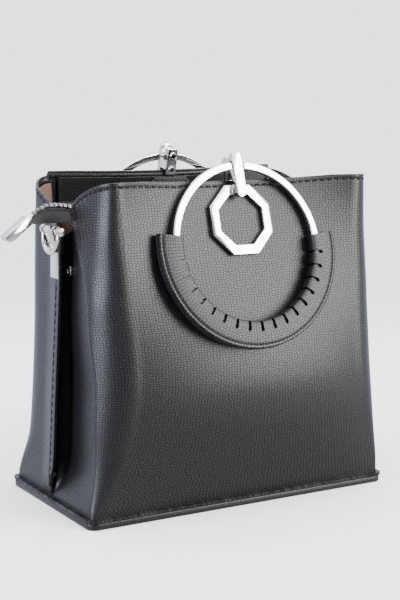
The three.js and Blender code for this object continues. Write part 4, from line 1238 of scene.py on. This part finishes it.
def shackle_pin_piece(name, hand):
    """The screw pin of a shackle, with its nut at one end and its ball at the other."""
    bm = bmesh.new()
    pin = SHACKLE_PIN
    shoulder = SHACKLE["spacing"] / 2.0 + SHACKLE["thickness"] / 2.0 + pin["gap"]
    rod_along_y(bm, pin["radius"], 2.0 * shoulder + pin["stubs"], 0.0, segments=20)
    rod_along_y(bm, pin["nut"], pin["nut_length"], shoulder + pin["nut_length"] / 2.0, segments=6)
    collar = COLLAR["share"] * pin["ball"]
    rod_along_y(bm, collar, COLLAR["length"], -shoulder - COLLAR["out"], segments=16)
    soften(bm, pin["edge"], angle=50.0)
    ball = Vector((0.0, -shoulder - pin["ball_out"] * pin["ball"], 0.0)) * MM
    bmesh.ops.create_uvsphere(
        bm, u_segments=9, v_segments=6, radius=pin["ball"] * MM,
        matrix=Matrix.Translation(ball) @ Matrix.Rotation(math.pi / 2.0, 4, "X"))
    return finished(bm, name, hanging(hand), sharp=25.0)


def stud_piece(name, hand):
    """A press stud, turned from its section and set on the side."""
    bm = bmesh.new()
    radius, height = STUD["radius"] * MM, STUD["height"] * MM
    verts = [bm.verts.new((out * radius, 0.0, up * height)) for out, up in STUD_SECTION]
    edges = [bm.edges.new(pair) for pair in zip(verts, verts[1:])]
    spin(bm, (0.0, 0.0, 0.0), (0.0, 0.0, 1.0), 2.0 * math.pi, STUD["steps"], verts + edges, merge=True)
    welded(bm)
    place = side_point(-STUD["y"], hand, STUD["z"], LAPS["front"])
    place.x += hand * STUD["clear"] * MM
    faced_out = Matrix.Translation(place) @ Matrix.Rotation(hand * math.pi / 2.0, 4, "Y")
    return finished(bm, name, faced_out, sharp=35.0)


for side, hand in (("left", -1), ("right", 1)):
    body = side + "_shackle"
    polished_copy("strap_tab_" + side, "tab_" + side, "polished_nickel", nickel, edge=0.3)
    bow = shackle_piece("shackle_bow_" + side, hand)
    settle(bow, body, "polished_nickel", nickel, "shackle_" + side)
    pin = shackle_pin_piece("shackle_screw_" + side, hand)
    settle(pin, body, "polished_nickel", nickel, "shackle_pin_" + side)
    settle(stud_piece("stud_" + side, hand), "bag", "dark_metal", dark_metal, "side_stud_" + side)

# Studio
# A pale floor fades into a white sweep, in a room that is bright overhead, paler behind and dim in front.
# A large soft light stands at the right front and a low cool one on the left. Glossy finishes don't
# mirror the floor.
FLOOR_SIZE = 12.0
FLOOR_FADE = (0.4, 1.0)
FLOOR_COLOUR = (0.9, 0.9, 0.9, 1.0)
FLOOR_ROUGHNESS = 0.9
bm = bmesh.new()
bmesh.ops.create_grid(bm, x_segments=1, y_segments=1, size=FLOOR_SIZE / 2.0)
floor = finished(bm, "floor", smooth=False)
floor_material, floor_tree, floor_shader = new_material("floor paper")
preset(floor_shader, {"Base Color": FLOOR_COLOUR, "Roughness": FLOOR_ROUGHNESS})
floor_place = floor_tree.nodes.new("ShaderNodeTexCoord").outputs["Object"]
floor_reach = vector_node(floor_tree, "LENGTH", floor_place)["Value"]
floor_clear = floor_tree.nodes.new("ShaderNodeBsdfTransparent")
floor_mix = floor_tree.nodes.new("ShaderNodeMixShader")
floor_tree.links.new(smooth_share(floor_tree, floor_reach, *FLOOR_FADE), floor_mix.inputs["Fac"])
floor_tree.links.new(floor_shader.outputs["BSDF"], floor_mix.inputs[1])
floor_tree.links.new(floor_clear.outputs["BSDF"], floor_mix.inputs[2])
floor_tree.links.new(floor_mix.outputs["Shader"], floor_tree.nodes["Material Output"].inputs["Surface"])
floor.data.materials.append(floor_material)
floor.visible_glossy = False

SWEEP_SEEN = (2.5, 2.5, 2.5)
OVERHEAD = (4.6, 4.6, 4.6)
ROOM_FRONT = (0.35, 0.35, 0.36)
ROOM_BACK = (1.5, 1.56, 1.95)
ROOM_LOW = (1.15, 1.15, 1.15)
BACK_SIDE = (0.516, 0.857, 0.0)
BACK_SPREAD = (-0.2, 0.7)
OVERHEAD_SPREAD = (0.4, 0.85)
LOW_SPREAD = (0.2, 0.45)
world = bpy.data.worlds.new("white sweep")
world.use_nodes = True
sky = world.node_tree
sky_place = sky.nodes.new("ShaderNodeTexCoord")
sky_seen = sky.nodes.new("ShaderNodeLightPath")


def sky_share(side, spread):
    """How far a direction of the room turns to a side, from 0 to 1."""
    turned = vector_node(sky, "DOT_PRODUCT", sky_place.outputs["Generated"], side)["Value"]
    return smooth_share(sky, turned, *spread)


room = mix_colour(sky, sky_share(BACK_SIDE, BACK_SPREAD), ROOM_FRONT, ROOM_BACK)
for share, colour in (
    (sky_share((0.0, 0.0, -1.0), LOW_SPREAD), ROOM_LOW),
    (sky_share((0.0, 0.0, 1.0), OVERHEAD_SPREAD), OVERHEAD),
    (sky_seen.outputs["Is Camera Ray"], SWEEP_SEEN),
):
    mixed = mix_colour(sky, share, colour, colour)
    sky.links.new(room, mixed.node.inputs["A"])
    room = mixed
sky.links.new(room, sky.nodes["Background"].inputs["Color"])
bpy.context.scene.world = world


def soft_light(name, place, target, size, watts, colour):
    """A wide light that faces its target and isn't seen itself."""
    data = bpy.data.lights.new(name, "AREA")
    data.color = colour
    data.shape = "RECTANGLE"
    data.size = size[0]
    data.size_y = size[1]
    data.energy = watts
    light = bpy.data.objects.new(name, data)
    light.location = place
    light.rotation_euler = (Vector(target) - Vector(place)).to_track_quat("-Z", "Y").to_euler()
    light.visible_camera = False
    bpy.context.scene.collection.objects.link(light)


WHITE = (1.0, 1.0, 1.0)
COOL = (0.8, 0.84, 1.0)
soft_light(
    "key", place=(1.06, -1.4, 0.58), target=(0.0, 0.0, 0.15), size=(1.15, 1.6), watts=98.0, colour=WHITE)
soft_light(
    "left", place=(-1.6, -0.05, 0.3), target=(-0.1, -0.05, 0.1), size=(1.2, 0.6), watts=52.0, colour=COOL)

# Camera
# It stands at the left front, a little above the bag. The lens, place and tilt were fitted to the
# picture's straight edges, for a frame of 400 by 600.
FOCAL_PIXELS = 1423.7
FRAME_HEIGHT = 600.0
SENSOR_HEIGHT = 36.0
CAMERA_PLACE = (-0.5049, -0.8376, 0.2929)
CAMERA_TURN = math.radians(-31.06)
CAMERA_DOWN = math.radians(9.38)
CAMERA_ROLL = math.radians(0.54)
forward = Vector((
    -math.sin(CAMERA_TURN) * math.cos(CAMERA_DOWN),
    math.cos(CAMERA_TURN) * math.cos(CAMERA_DOWN),
    -math.sin(CAMERA_DOWN),
))
level_right = Vector((math.cos(CAMERA_TURN), math.sin(CAMERA_TURN), 0.0))
level_up = level_right.cross(forward)
right = math.cos(CAMERA_ROLL) * level_right + math.sin(CAMERA_ROLL) * level_up
up = math.cos(CAMERA_ROLL) * level_up - math.sin(CAMERA_ROLL) * level_right
lens = bpy.data.cameras.new("camera")
lens.sensor_fit = "VERTICAL"
lens.sensor_height = SENSOR_HEIGHT
lens.lens = FOCAL_PIXELS * SENSOR_HEIGHT / FRAME_HEIGHT
camera = bpy.data.objects.new("camera", lens)
turn = Matrix((right, up, -forward)).transposed().to_4x4()
camera.matrix_world = Matrix.Translation(CAMERA_PLACE) @ turn
bpy.context.scene.collection.objects.link(camera)
bpy.context.scene.camera = camera
